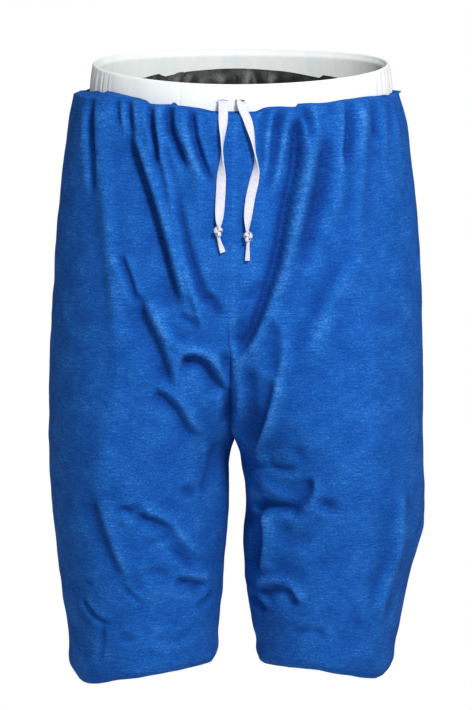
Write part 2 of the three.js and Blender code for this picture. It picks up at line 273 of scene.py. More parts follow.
reach = through(
    (-22, 160), (-31, 161), (-66, 168), (-157, 179.5), (-247, 184.5), (-338, 187),
    (-383, 187), (-458, 183.5), (-519, 172.5), (-579, 161.5), (-598, 158), (HEM, 152),
)  # fmt: skip
centre = through(
    (-22, 0), (-31, 0), (-100, 4), (-165, 14), (-230, 32), (-300, 62), (-350, 84),
    (-385, 97), (-428, 98), (-489, 94.5), (-549, 91), (HEM, 90.5),
)  # fmt: skip
front_depth = through(
    (-22, 110), (-31, 110.5), (-215, 126), (-300, 127), (-385, 120), (-450, 110),
    (-520, 102), (-579, 94), (-598, 90), (HEM, 83),
)  # fmt: skip
shell_inset = through((SHELL_TOP, 9.5), (-28.3, 2), (-30, 0.4), (-33, 0), (-45, 0))
lining_inset = through(
    (LINING_TOP, 15), (-40, 17), (-500, 17), (-560, 11), (HEM + FACING_HEIGHT, 8.6)
)  # fmt: skip


def seat(height):
    """How much deeper the back is than the front, over the seat."""
    return 10 * bell(height, -210, 110)


def rim_height(face):
    """How far the rim is above the origin, where face is -1 in front and 1 behind."""
    return RIM_TILT * face - RIM_DIP * face * face


def leg_point(side, turn, height, inset):
    """A point on one leg's oval. turn runs from the inseam over the front, side and back."""
    turn, height = np.broadcast_arrays(np.asarray(turn, float), np.asarray(height, float))
    depth = front_depth(height) + np.where(turn > math.pi, seat(height), 0) - inset
    width = reach(height) - centre(height) - inset
    rim_share = smoothstep(height, -200, -BAND_HEIGHT)
    hem_share = 1 - smoothstep(height, -596, -480)
    x = side * (centre(height) - width * np.cos(turn))
    y = -depth * np.sin(turn)
    z = height + rim_height(-np.sin(turn)) * rim_share + HEM_SLOPE * np.cos(turn) * hem_share
    return np.stack([x, y, z], axis=-1)


def first_turn(height, inset):
    """Where a leg's oval starts: at the middle plane above the crotch, or at the inseam."""
    width = reach(height) - centre(height) - inset
    return np.arccos(np.clip(centre(height) / width, -1, 1))


def leg_grid(side, heights, insets, columns):
    """A grid round one whole leg, half of its columns on the front and half on the back."""
    height = np.asarray(heights, float)[:, None]
    inset = np.asarray(insets, float)[:, None]
    start = first_turn(height, inset)
    share = np.linspace(0, 1, columns + 1)[None, :]
    front = lerp(start, math.pi, share)
    back = lerp(math.pi, TAU - start, share)[:, 1:]
    return leg_point(side, np.hstack([front, back]), height, inset)


def leg_normals(side, points, heights):
    """Outward normals of a leg grid, level with its twin's where the two halves meet."""
    middle = np.stack([side * centre(heights), 0 * heights, heights], axis=-1)[:, None, :]
    outwards = points - middle
    normals = grid_normals(points, outwards)
    joined = centre(heights) > reach(heights) - centre(heights)
    ends = normals[:, 0] + normals[:, -1]
    normals[joined, 0] = normals[joined, -1] = ends[joined]
    flat = np.where(joined[:, None], 1, smoothstep(np.abs(points[..., 0]), 0, 25))
    normals[..., 0] *= flat
    return unit(normals)


def band_point(angle, inset, drop):
    """A point of the waistband, by angle from +X, depth in from its face and drop below the rim."""
    flare = BAND_FLARE * (drop / BAND_HEIGHT) - inset
    x = (BAND_HALF_WIDTH + flare) * np.cos(angle)
    y = (BAND_HALF_DEPTH + flare) * np.sin(angle)
    return np.stack(np.broadcast_arrays(x, y, rim_height(np.sin(angle)) - drop), axis=-1)


def band_front(drop):
    return BAND_HALF_DEPTH + BAND_FLARE * drop / BAND_HEIGHT


HOLE_Z = rim_height(-1) - HOLE_BELOW_RIM


def hole_x(side):
    return FRONT_MIDDLE + side * HOLE_OFFSET


# -------- Folds. Each is a line on the front or the back of the cloth, as points (x, z) from its start to
# its end, with a height and a width. A valley or a ridge has its lowest or highest place on the
# line. A wall is a step: the cloth stands higher on the +X side of a line that runs down, or above
# a line that runs to the right, and eases back to its level over the spread on each side.
LINE_STEPS = 24
FOLD_REACH = 6.5  # how many widths away a fold still counts


def line_distances(x, z, line):
    """The signed distance to a line, and the share of the line gone by there."""
    path = smooth_line(line, LINE_STEPS)
    a, run = path[:-1], np.diff(path, axis=0)
    length = np.linalg.norm(run, axis=1)
    offset = np.stack([x, z], axis=-1)[:, None, :] - a[None]
    share = np.clip((offset * run).sum(axis=-1) / length**2, 0, 1)
    distance = np.linalg.norm(offset - share[..., None] * run, axis=-1)
    nearest = distance.argmin(axis=1)
    pick = np.arange(len(x))
    turn = run[nearest, 0] * offset[pick, nearest, 1] - run[nearest, 1] * offset[pick, nearest, 0]
    signed = np.where(turn > 0, 1, -1) * distance[pick, nearest]
    gone = running(length)
    return signed, (gone[nearest] + share[pick, nearest] * length[nearest]) / gone[-1]


def valley_profile(s, lips=0.3):
    """A dip with a low ridge on each side."""
    return lips * (bell(s, 1.9, 1.1) + bell(s, -1.9, 1.1)) - bell(s)


def ridge_profile(s):
    return bell(s)


def wall_profile(s, low=3.0, high=2.6):
    """A step up across the line that eases back on both sides."""
    return np.tanh(1.7 * s) * bell(s, 0, np.where(s > 0, high, low))


PROFILES = {"valley": valley_profile, "ridge": ridge_profile, "wall": wall_profile}


def fold_height(x, z, kind, line, height, width, start=0.2, end=0.3, **shape):
    """One fold's height at points. It fades in over the share start of its line, and out over end."""
    corners = np.array(line, float)
    margin = FOLD_REACH * width
    low, high = corners.min(axis=0) - margin, corners.max(axis=0) + margin
    out = np.zeros(x.shape)
    near = (x > low[0]) & (x < high[0]) & (z > low[1]) & (z < high[1])
    if near.any():
        signed, gone = line_distances(x[near], z[near], line)
        fade = smoothstep(gone, -0.02, start) if start else 1.0
        fade = fade * (1 - smoothstep(gone, 1 - end, 1.02)) if end else fade
        out[near] = height * fade * PROFILES[kind](signed / width, **shape)
    return out


def fold_of(kind):
    """A function that describes one fold of a kind."""
    return lambda line, height, width, **more: dict(kind=kind, line=line, height=height, width=width, **more)


valley, ridge, wall = map(fold_of, PROFILES)


# The front as worn: gathers below the band that run down and in to the crotch, and on the legs
# short creases that run in to the inseam.
WAIST_FOLDS_RIGHT = (
    valley([(-142, -22), (-142.5, -75), (-143, -128)], 6, 3.4, start=0),
    valley([(-162, -22), (-168, -60), (-176, -110)], 2.2, 4, start=0),
    ridge([(-148, -22), (-151, -60), (-158, -110)], 2.5, 5, start=0),
    ridge([(-132, -20), (-131, -80), (-127, -150), (-119, -220), (-114, -290)], 5, 8, start=0),
    valley([(-118, -24), (-116, -62)], 2.6, 4, start=0),
    valley([(-106, -26), (-105, -48), (-102, -66)], 6, 3.2, start=0, lips=0.45),
    valley(
        [(-107, -58), (-97, -90), (-85, -124), (-73, -162), (-62, -198), (-54, -224)], 7, 4,
        start=0.15, end=0.25, lips=0,
    ),
    wall(
        [(-105, -58), (-94, -90), (-82, -124), (-70, -162), (-59, -198), (-49, -228)], 7.5, 6.5,
        start=0.12, end=0.12, low=4.2, high=1.6,
    ),
    ridge([(-97, -30), (-93, -66)], 2.5, 4.5, start=0),
    valley([(-88, -28), (-82, -55), (-78, -75), (-79, -96)], 7, 3, start=0, lips=0.4),
    ridge(
        [(-75, -36), (-73, -72), (-67, -98), (-60, -130), (-51, -165), (-41, -205), (-24, -258)], 4.6, 3.2,
        start=0.05, end=0.1,
    ),
    valley([(-65, -28), (-64, -54), (-54, -74), (-45, -98)], 8.5, 4, start=0, lips=0.4),
    ridge([(-54, -30), (-46, -66), (-34, -104), (-30, -135)], 3, 6.5, start=0),
    valley([(-46, -30), (-36, -66), (-24, -96), (-16, -112)], 7.5, 3.6, start=0, lips=0.4),
    valley([(-58, -118), (-52, -150), (-40, -186), (-22, -226), (-10, -246)], 5.5, 6, lips=0.2),
    valley([(-24, -214), (-14, -226), (-8, -240)], 4, 5),
    valley([(-116, -180), (-106, -203), (-101, -219), (-88, -225)], 4, 3.2, start=0.1, lips=0.5),
    wall(
        [(-92, -223), (-80, -246), (-70, -268), (-61, -296), (-56, -318)], 6.5, 6,
        start=0.08, low=3.8, high=1.8,
    ),
    valley([(-55, -234), (-44, -240), (-32, -247)], 3.2, 3, start=0.1),
    ridge([(-88, -220), (-72, -246), (-52, -268), (-26, -263)], 3.6, 5, start=0.1),
    wall(
        [(-52, -286), (-47, -276), (-34, -275), (-22, -281), (-10, -298), (-4, -316)], 9, 4.2,
        start=0.05, end=0.1, low=3.4, high=1.8,
    ),
    valley([(-6, -270), (-3, -296), (-1, -322), (-4, -352)], 7, 5.5, end=0.1),
    wall(
        [(-80, -308), (-66, -314), (-52, -328), (-42, -346), (-29, -362)], 6, 4.8,
        start=0.08, low=3.2, high=2,
    ),
)  # fmt: skip
LEG_FOLDS_RIGHT = (
    ridge([(-118, -300), (-124, -350), (-133, -400), (-140, -430)], 3, 14),
    wall([(-138, -420), (-128, -455), (-117, -482), (-103, -508)], 5.5, 5, start=0.12, low=3, high=2.6),
    ridge([(-112, -440), (-100, -444)], 2.6, 8),
    wall([(-112, -428), (-94, -426), (-82, -440)], 2.6, 3.6, low=2.4, high=2.4),
    wall(
        [(-100, -432), (-80, -438), (-64, -448), (-55, -464), (-40, -481), (-28, -488)], 4.4, 3.6,
        start=0.1, low=3.2, high=2.2,
    ),
    valley([(-118, -432), (-108, -430), (-98, -440)], 2.6, 3, start=0.1),
    valley([(-66, -470), (-52, -482), (-42, -498)], 2.2, 4, start=0.1),
    valley([(-90, -466), (-76, -462), (-62, -458)], 2.6, 3.4),
    valley([(-90, -499), (-80, -493), (-64, -496)], 2.4, 3.4),
    wall([(-57, -500), (-42, -505), (-26, -513)], 5.5, 4, start=0.1, low=3, high=2.2),
    valley([(-39, -538), (-30, -530), (-21, -524)], 3, 4),
    ridge([(-96, -470), (-84, -505), (-72, -535)], 2.2, 8),
    valley([(-149, -527), (-134, -543), (-118, -550)], 3.4, 2.6, start=0.08, lips=0.5),
    valley([(-112, -507), (-100, -518), (-88, -529)], 2.4, 2.4, start=0.1, lips=0.5),
    valley([(-128, -548), (-128, -570), (-130, -590)], 2.2, 3, start=0.1),
    valley([(-150, -505), (-138, -512)], 2, 3),
    valley([(-52, -412), (-36, -420)], 3.2, 5),
    valley([(-80, -560), (-62, -568), (-44, -560)], 2, 5),
    valley([(-112, -560), (-96, -566)], 1.8, 4.5),
    ridge([(-56, -548), (-40, -552)], 2.2, 7),
    wall([(-22, -366), (-28, -400), (-38, -420)], -2.6, 6, low=2.4, high=3),
)  # fmt: skip
WAIST_FOLDS_LEFT = (
    ridge([(26, -36), (22, -90), (20, -132)], 2.6, 5, start=0),
    valley([(45, -28), (42, -66), (38, -100), (33, -124)], 8, 3.6, start=0, lips=0.3),
    ridge([(55, -30), (50, -66), (42, -98), (36, -130)], 3.5, 3.6, start=0),
    valley([(30, -34), (28, -70), (30, -110)], 4, 3.2, start=0, lips=0.4),
    wall(
        [(67, -46), (64, -92), (56, -130), (48, -177), (36, -220), (22, -257), (12, -272)], 9, 4,
        start=0.08, end=0.04, low=4.5, high=2.4,
    ),
    valley(
        [(63, -46), (60, -92), (52, -130), (44, -177), (32, -220), (18, -257), (8, -274)], 14, 2.8,
        start=0.1, end=0.05, lips=0,
    ),
    valley([(64, -26), (70, -50), (75, -74)], 9, 3.4, start=0, lips=0.4),
    ridge([(75, -60), (70, -100), (62, -140), (54, -180), (45, -225)], 4.5, 5),
    valley([(91, -60), (86, -105), (77, -142), (65, -190)], 7, 8, lips=0.3),
    ridge([(99, -78), (97, -116), (91, -150)], 3, 8),
    wall([(86, -26), (94, -36), (100, -50)], 3, 3.2, start=0),
    valley([(111, -26), (111, -62), (108, -88), (113, -102)], 7.5, 4.5, start=0),
    ridge([(121, -22), (122, -66), (120, -110), (117, -150), (122, -220)], 4.4, 6, start=0, end=0.5),
    ridge([(143, -22), (144, -70), (146, -90)], 2.2, 3.2, start=0),
    valley([(134, -22), (137, -75)], 3.5, 4.5, start=0),
    ridge([(152, -28), (157, -80)], 2, 3, start=0),
    wall([(114, -176), (100, -200), (86, -226), (76, -250), (62, -286)], 5.5, 8, low=2.4, high=2.2),
    ridge([(124, -200), (126, -270), (130, -340), (136, -420)], 2.4, 14),
    wall([(36, -236), (44, -250), (46, -280), (44, -306)], 4, 5, start=0.15, low=4.4, high=2),
    valley([(18, -284), (18, -330), (16, -372)], 6, 7, end=0.15, lips=0.1),
    ridge([(49, -270), (43, -308), (36, -345), (30, -376), (35, -389)], 4.5, 3.2, start=0.15, end=0.05),
    wall([(43, -296), (36, -332), (27, -372)], 6, 4.5, low=3.4, high=2),
    valley([(34, -388), (50, -392), (62, -388)], 3, 4),
    valley([(32, -204), (22, -212), (12, -222)], 3.4, 5),
    valley([(12, -238), (6, -258), (0, -272)], 3.5, 5),
)  # fmt: skip
LEG_FOLDS_LEFT = (
    wall([(74, -396), (76, -406), (72, -420), (62, -434)], 5.2, 4, start=0.2, end=0.15, low=4.8, high=1.6),
    valley([(60, -366), (68, -386)], 2.4, 5),
    valley([(88, -420), (95, -436)], 3, 6),
    valley([(22, -438), (34, -431), (50, -431), (62, -435)], 7, 5.5, start=0.1, end=0.1, lips=0.2),
    wall([(29, -442), (29, -466), (26, -500)], 7.5, 4.5, start=0.08, end=0.12, low=4, high=2),
    ridge([(30, -392), (34, -410), (50, -412)], 2.5, 6),
    valley([(44, -448), (56, -462), (76, -452)], 2.4, 9),
    wall([(24, -520), (38, -511), (53, -513), (64, -528)], 4.6, 3.6, start=0.08, end=0.1, low=3, high=2.2),
    valley([(20, -530), (30, -542)], 5, 3.2, start=0, lips=0.5),
    valley([(78, -428), (92, -424)], 3, 6),
    ridge([(160, -404), (157, -450), (151, -500), (144, -530), (143, -580)], 4.5, 5),
    valley([(145, -430), (140, -490), (134, -540)], 2.5, 8),
    valley([(110, -520), (128, -560)], 2, 6),
    valley([(52, -560), (74, -556), (92, -566)], 2, 5),
    wall([(12, -400), (16, -440), (18, -470)], 3, 5),
)
FRONT_FOLDS = WAIST_FOLDS_RIGHT + LEG_FOLDS_RIGHT + WAIST_FOLDS_LEFT + LEG_FOLDS_LEFT


def mirrored_folds(folds):
    """The same folds on both halves, the second a little shifted so that they don't match."""
    out = []
    for fold in folds:
        out.append(fold)
        line = [(4 - x, z - 9) for x, z in fold["line"]]
        flipped = -fold["height"] if fold["kind"] == "wall" else fold["height"]
        twin = dict(fold, line=line, height=0.85 * flipped)
        if "low" in fold:
            twin["low"], twin["high"] = fold["high"], fold["low"]
        out.append(twin)
    return tuple(out)


# The back: the cloth hangs from the band over the seat and creases below it.
BACK_FOLDS = mirrored_folds(
    (
        valley([(-22, -22), (-25, -70), (-33, -125)], 4, 4.5, start=0),
        ridge([(-34, -22), (-38, -70), (-48, -120)], 3, 6, start=0),
        wall([(-50, -22), (-57, -80), (-72, -165), (-92, -235)], 4.5, 5, start=0, low=3.5, high=2),
        valley([(-84, -22), (-92, -85), (-112, -160)], 4.5, 5, start=0),
        ridge([(-98, -22), (-105, -70), (-118, -120)], 3.5, 7, start=0),
        valley([(-116, -22), (-122, -70), (-132, -120)], 4, 4.5, start=0),
        wall([(-84, -286), (-40, -302), (-8, -300)], 2.6, 5, start=0.1, low=3, high=2.2),
        wall([(-100, -322), (-44, -338), (-6, -330)], 3.2, 5, start=0.08, low=3, high=2.2),
        wall([(-108, -370), (-50, -374), (-12, -364)], 3, 5, start=0.05, low=3, high=2.2),
        valley([(-125, -300), (-112, -345), (-80, -395)], 3.5, 7),
        wall([(-120, -426), (-68, -432), (-34, -414)], 2.6, 4.5, low=3, high=2.2),
        wall([(-142, -405), (-128, -450), (-100, -492)], 3, 5, low=3, high=2.2),
        valley([(-96, -480), (-64, -488), (-30, -472)], 3.6, 4),
        valley([(-122, -535), (-84, -522), (-48, -530)], 3, 4),
        valley([(-140, -500), (-128, -540), (-124, -580)], 2.5, 5),
        valley([(-98, -570), (-60, -566)], 2.2, 5),
        ridge([(-60, -400), (-66, -450), (-58, -505)], 2.5, 12),
    )
)


GATHERS_FROM, GATHERS_TO = 152.0, 420  # from the middle of the front, round each side


def gathers(points, turnwise):
    """Small pleats just below the band, round the sides and the back."""
    rng = np.random.default_rng(7)
    drop = -points[..., 2]
    around = np.abs(turnwise)
    height = np.zeros(drop.shape)
    at = GATHERS_FROM
    while at < GATHERS_TO:
        size = rng.uniform(1.0, 2.4)
        long = rng.uniform(35, 120)
        wide = rng.uniform(3.5, 6)
        drift = rng.uniform(-0.05, 0.05)
        for side in SIDES:
            gap = np.where(np.sign(turnwise) == side, around - at - drift * drop, 999)
            near = bell(gap, 0, wide) - 0.55 * bell(gap, 1.6 * wide, wide)
            height += size * near * (1 - smoothstep(drop, 0.25 * long, long))
        at += rng.uniform(9, 19)
    return height


FINE_WAVES, CREASES = 0.6, 2.4
PUCKER_PITCH = 6.5


def crinkle(points):
    """The cloth's small uneven waves, a little longer than they are wide."""
    broad = noise_at(points, (14, 14, 9))
    fine = noise_at(points + 500, (44, 44, 40), octaves=2)
    creases = np.abs(noise_at(points + 900, (24, 24, 30))) - 0.25
    low = 0.4 + 0.6 * smoothstep(-points[..., 2], 380, 560)
    away = smoothstep(-points[..., 2], 40, 140)
    return broad + FINE_WAVES * fine - CREASES * low * creases * away


def seam_puckers(points):
    """The small pleats, from 0 to 1, along the wearer's left of the seam between the front panels."""
    x, z = points[..., 0], points[..., 2]
    beside = bell(x, 4.2, 2.6) * (points[..., 1] < 0)
    puckers = 0.6 + 0.4 * np.sin(TAU * z / PUCKER_PITCH + 3 * noise_at(points, (0, 0, 25)))
    return beside * puckers * smoothstep(-z, 36, 60) * (1 - smoothstep(-z, 285, 330))


def shell_height(points, normals, turnwise):
    """How far the folded cloth stands out from the worn shape."""
    x, z = points[..., 0], points[..., 2]
    face = -normals[..., 1]
    front = smoothstep(face, 0.12, 0.5)
    back = smoothstep(-face, 0.12, 0.5)
    height = crinkle(points) + gathers(points, turnwise)
    height += front * (seam_puckers(points) + sum(fold_height(x, z, **fold) for fold in FRONT_FOLDS))
    height += back * sum(fold_height(x, z, **fold) for fold in BACK_FOLDS)
    return height


# The worn shorts sit a little unevenly: the front seam hangs towards the wearer's right, the band
# is turned a little the other way, the left knee side juts out, and the hems have square corners.
right_lean = through(
    (-22, 0), (-60, 1.5), (-120, 1.8), (-200, 1.8), (-260, 0.5), (-400, -0.5), (-450, 0), (-487, -1),
    (-507, -3), (-547, -4.5), (-606, -6),
)  # fmt: skip
left_lean = through(
    (-22, 0), (-60, 1.5), (-200, 1), (-380, 0.5), (-427, 4), (-450, 5), (-470, 5.5), (-487, 4.5),
    (-507, 0.5), (-527, 0), (-547, -1), (-567, -0.5), (-606, -4),
)  # fmt: skip
right_inseam = through(
    (-340, 0), (-375, 2), (-400, 3), (-440, 3), (-480, -0.5), (-540, 0), (-560, 2), (-606, 0),
)  # fmt: skip
left_inseam = through(
    (-340, 0), (-375, -4.5), (-400, -5), (-422, -1.5), (-447, 0), (-467, -2), (-487, -3.5), (-550, -2.5),
    (-590, 1), (-606, 2),
)  # fmt: skip
hem_lift = through(
    (170, 3), (150, 1), (130, 4), (112, 6.5), (85, 8), (60, 5), (40, 0), (24, -3),
    (-24, -3), (-40, 0), (-60, 2), (-110, 1.5), (-134, -3), (-146, -2), (-165, 10),
)  # fmt: skip
BAND_SHIFT, BACK_RISE = 5.0, 1.0
FRONT_SEAM, FRONT_SEAM_REACH = -6.0, 55
INSEAM_AT, INSEAM_REACH = 14, 16
CORNER_HEIGHT, INNER_CORNER, OUTER_CORNER = 36, 7.5, 2.5
HEM_RIPPLE = 0.5


def settle_band(points):
    """The waistband is turned a little towards the wearer's left, and its back stands higher."""
    x, y, z = points[..., 0], points[..., 1], points[..., 2]
    x = x + BAND_SHIFT * smoothstep(np.abs(x), 10, 125)
    return np.stack([x, y, z + BACK_RISE * smoothstep(y, -20, 95)], axis=-1)


def settle(points, free_below=31):
    """Moves points from the even worn shape to the uneven one. free_below is how far under the rim
    a layer stops following the band."""
    x, y, z = points[..., 0], points[..., 1], points[..., 2]
    top = 1 - smoothstep(-z, 27.4, free_below)
    banded = settle_band(points)
    x, y, z = (lerp(a, banded[..., i], top) for i, a in enumerate((x, y, z)))
    pull = smoothstep(-z, 25, 60) * (1 - smoothstep(-z, 420, 480)) * smoothstep(-y, 10, 70)
    moved = FRONT_SEAM * bell(x, 0, FRONT_SEAM_REACH) * pull
    moved += smoothstep(-x, 20, 150) * right_lean(z) + smoothstep(x, 20, 150) * left_lean(z)
    for side, inseam in ((LEFT, left_inseam), (RIGHT, right_inseam)):
        moved += inseam(z) * bell(x, side * INSEAM_AT, INSEAM_REACH) * smoothstep(side * x, 0, 4)
    corner = (1 - smoothstep(z, HEM, HEM + CORNER_HEIGHT)) * np.sign(x)
    moved -= INNER_CORNER * corner * (1 - smoothstep(np.abs(x), 30, 66))
    moved += OUTER_CORNER * corner * smoothstep(np.abs(x), 110, 150)
    low = 1 - smoothstep(z, HEM, HEM + 70)
    ripple = noise_at(points, (26, 26, 0)) * HEM_RIPPLE
    lifted = low * (hem_lift(x) * smoothstep(-y, -40, 50) + ripple)
    return np.stack([x + moved, y, z + lifted], axis=-1)


# -------- Materials.
def srgb(red, green, blue):
    """A colour given in display values from 0 to 255, as the linear values a shader takes."""
    values = [c / 255 for c in (red, green, blue)]
    return tuple(c / 12.92 if c <= 0.04045 else ((c + 0.055) / 1.055) ** 2.4 for c in values) + (1.0,)


class Nodes:
    """Builds one material's nodes, with short names for what repeats."""

    def __init__(self, name, roughness, specular=0.3, sheen=0.0, sheen_roughness=0.5):
        self.material = bpy.data.materials.new(name)
        self.material.use_nodes = True
        self.tree = self.material.node_tree
        self.shader = self.tree.nodes["Principled BSDF"]
        self.shader.inputs["Roughness"].default_value = roughness
        self.shader.inputs["Specular IOR Level"].default_value = specular
        self.shader.inputs["Sheen Weight"].default_value = sheen
        self.shader.inputs["Sheen Roughness"].default_value = sheen_roughness
        self.bumped = None

    def node(self, kind, **inputs):
        made = self.tree.nodes.new(kind)
        for key, value in inputs.items():
            socket = made.inputs[int(key[1:])] if key[0] == "i" and key[1:].isdigit() else made.inputs[key]
            if isinstance(value, bpy.types.NodeSocket):
                self.tree.links.new(value, socket)
            else:
                socket.default_value = value
        return made

    def coordinates(self, source, scale):
        """Coordinates in metres times scale: source is UV for cloth panels or Object."""
        place = self.tree.nodes.new("ShaderNodeTexCoord").outputs[source]
        return self.node("ShaderNodeMapping", Vector=place, Scale=scale).outputs["Vector"]

    def noise(self, source, scale, detail=2.0, roughness=0.5):
        made = self.node(
            "ShaderNodeTexNoise",
            Vector=self.coordinates(source, scale), Scale=1.0, Detail=detail, Roughness=roughness,
        )  # fmt: skip
        return made.outputs["Fac"]

    def math(self, operation, a, b=0.0):
        made = self.node("ShaderNodeMath", i0=a, i1=b)
        made.operation = operation
        return made.outputs[0]

    def ramp(self, value, *stops):
        made = self.node("ShaderNodeValToRGB", Fac=value)
        ramp = made.color_ramp
        for i, (place, colour) in enumerate(stops):
            stop = ramp.elements[i] if i < len(ramp.elements) else ramp.elements.new(place)
            stop.position = place
            stop.color = colour
        return made.outputs["Color"]

    def colour(self, value):
        self.tree.links.new(value, self.shader.inputs["Base Color"])

    def bump(self, height, distance, strength=1.0):
        made = self.node("ShaderNodeBump", Height=height, Distance=distance, Strength=strength)
        if self.bumped is not None:
            self.tree.links.new(self.bumped, made.inputs["Normal"])
        self.bumped = made.outputs["Normal"]
        self.tree.links.new(self.bumped, self.shader.inputs["Normal"])

    def weave(self, source, pitch_u, pitch_v):
        """A woven or knitted height from 0 to 1: two sets of ribs that cross."""
        waves = []
        for axis, pitch in (("X", pitch_u), ("Y", pitch_v)):
            made = self.node(
                "ShaderNodeTexWave",
                Vector=self.coordinates(source, (1.0, 1.0, 1.0)), Scale=math.pi / (10 * pitch) * 2,
            )  # fmt: skip
            made.bands_direction = axis
            waves.append(made.outputs["Fac"])
        return self.math("MULTIPLY", waves[0], waves[1])


# How strongly the painted highlight and shade on the folds moves the knit's colour.
PAINTED_FOLD_LIGHT_STRENGTH = 0.032


def knit_material():
    """Brushed blue melange jersey: a paler nap over darker ground, drawn out sideways in places.

    Painted highlight and shade: the colour is made paler along the folds' ridges and over the puckers
    beside the front seam, and darker in the folds' valleys. The attribute that carries this painted
    light goes with how far a point stands above the cloth round it.
    """
    nodes = Nodes("shell_knit", 0.92, 0.12)
    streaks = nodes.noise("UV", (95, 520, 1), detail=3, roughness=0.6)
    flecks = nodes.noise("UV", (420, 900, 1), detail=2, roughness=0.6)
    clouds = nodes.noise("UV", (24, 34, 1), detail=4, roughness=0.65)
    value = nodes.math("MULTIPLY", streaks, 0.3)
    value = nodes.math("ADD", value, nodes.math("MULTIPLY", flecks, 0.42))
    value = nodes.math("ADD", value, nodes.math("MULTIPLY", clouds, 0.28))
    # Painted highlight and shade from the shell's attribute: paler on ridges and seam puckers, darker in
    # valleys.
    painted_fold_light = nodes.node("ShaderNodeAttribute")
    painted_fold_light.attribute_name = "painted_fold_light"
    value = nodes.math("ADD", value, nodes.math("MULTIPLY", painted_fold_light.outputs["Fac"], PAINTED_FOLD_LIGHT_STRENGTH))
    nodes.colour(
        nodes.ramp(
            value,
            (0.24, srgb(6, 36, 100)),
            (0.36, srgb(8, 60, 136)),
            (0.48, srgb(15, 78, 159)),
            (0.57, srgb(27, 95, 177)),
            (0.68, srgb(66, 130, 202)),
        )
    )
    nodes.bump(nodes.weave("UV", 0.0011, 0.0009), 0.0002, 0.4)
    nodes.bump(flecks, 0.0005, 0.5)
    return nodes.material


def band_material():
    """Fine white rib knit over elastic."""
    nodes = Nodes("waistband_rib", 0.75, 0.25, sheen=0.15)
    soft = nodes.noise("UV", (60, 30, 1), detail=3)
    nodes.colour(nodes.ramp(soft, (0.3, srgb(218, 223, 223)), (0.7, srgb(227, 231, 230))))
    nodes.bump(nodes.weave("UV", 0.0012, 0.0011), 0.00015, 0.5)
    return nodes.material


def tape_material():
    """White woven tape with a fine crosswise weave."""
    nodes = Nodes("drawstring_tape", 0.8, 0.25, sheen=0.1)
    soft = nodes.noise("UV", (500, 300, 1), detail=2)
    nodes.colour(nodes.ramp(soft, (0.35, srgb(208, 207, 222)), (0.65, srgb(222, 221, 234))))
    nodes.bump(nodes.weave("UV", 0.0011, 0.0009), 0.00025, 0.8)
    return nodes.material


def lining_material():
    """Dark lining with a soft gloss that catches the edges of its creases."""
    nodes = Nodes("lining_fabric", 0.42, 0.5, sheen=0.25, sheen_roughness=0.3)
    soft = nodes.noise("UV", (60, 80, 1), detail=3)
    nodes.colour(nodes.ramp(soft, (0.35, srgb(16, 20, 20)), (0.7, srgb(34, 39, 38))))
    nodes.bump(nodes.weave("UV", 0.0009, 0.0009), 0.0001, 0.5)
    nodes.bump(nodes.noise("UV", (170, 120, 1), detail=4, roughness=0.6), 0.0012, 0.6)
    return nodes.material


def foam_material():
    """Closed-cell foam, dark grey with fine pores."""
    nodes = Nodes("foam", 0.9, 0.3)
    soft = nodes.noise("Object", (90, 90, 90), detail=3)
    nodes.colour(nodes.ramp(soft, (0.35, srgb(44, 48, 54)), (0.7, srgb(62, 66, 72))))
    nodes.bump(nodes.noise("Object", (1400, 1400, 1400), detail=2), 0.0003, 0.6)
    return nodes.material


def mesh_material():
    """Dark open mesh with a regular hole pattern."""
    nodes = Nodes("pocket_mesh", 0.7, 0.35)
    holes = nodes.weave("UV", 0.0022, 0.0022)
    nodes.colour(nodes.ramp(holes, (0.2, srgb(14, 16, 18)), (0.6, srgb(44, 49, 54))))
    nodes.bump(holes, 0.0006, 0.9)
    return nodes.material


def elastic_material():
    """Woven elastic: pale, with crosswise ribs."""
    nodes = Nodes("elastic", 0.6, 0.35)
    ribs = nodes.weave("UV", 0.0016, 0.004)
    nodes.colour(nodes.ramp(ribs, (0.2, srgb(216, 216, 210)), (0.7, srgb(240, 240, 236))))
    nodes.bump(ribs, 0.0004, 0.8)
    return nodes.material


def thread_material(name, dark, pale):
    """Polyester sewing thread with a twist."""
    nodes = Nodes(name, 0.5, 0.4, sheen=0.1)
    twist = nodes.noise("Object", (2500, 2500, 2500), detail=1)
    nodes.colour(nodes.ramp(twist, (0.35, dark), (0.65, pale)))
    nodes.bump(twist, 0.0001, 0.5)
    return nodes.material


def finish_piece(piece, body, slot, material, *nodes):
    """Gives a piece its material and its body, and hides the CAD nodes that it stands for. slot is not used.
    """
    piece.data.materials.append(material)
    if body:
        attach(piece, body)
    if nodes:
        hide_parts(*nodes)
    return piece


# -------- Drawstring: two tails of flat tape, each with a knot and a loose tip, and the hidden run.
TAPE_ROUTES = {
    RIGHT: (
        (-13, -97.3, -29), (-13, -100.6, -29.2), (-12.6, -104.6, -31.5), (-12.4, -109.2, -37.5),
        (-12.6, -113.2, -50), (-13.2, -115, -66), (-13.7, -116.4, -83), (-14.2, -118.2, -99),
        (-14.8, -119.8, -115), (-15.8, -122, -133), (-16.6, -124.2, -147.5),
    ),
    LEFT: (
        (4, -97.3, -29), (4.1, -100.6, -29.2), (5, -104.6, -31.5), (7.2, -109.2, -37.5),
        (11.8, -113, -48), (16.4, -115, -66), (19.6, -116.8, -90), (17.6, -118.8, -105),
        (13.9, -120.4, -122), (11.6, -122.4, -140), (11.0, -124.6, -152.5),
    ),
}  # fmt: skip
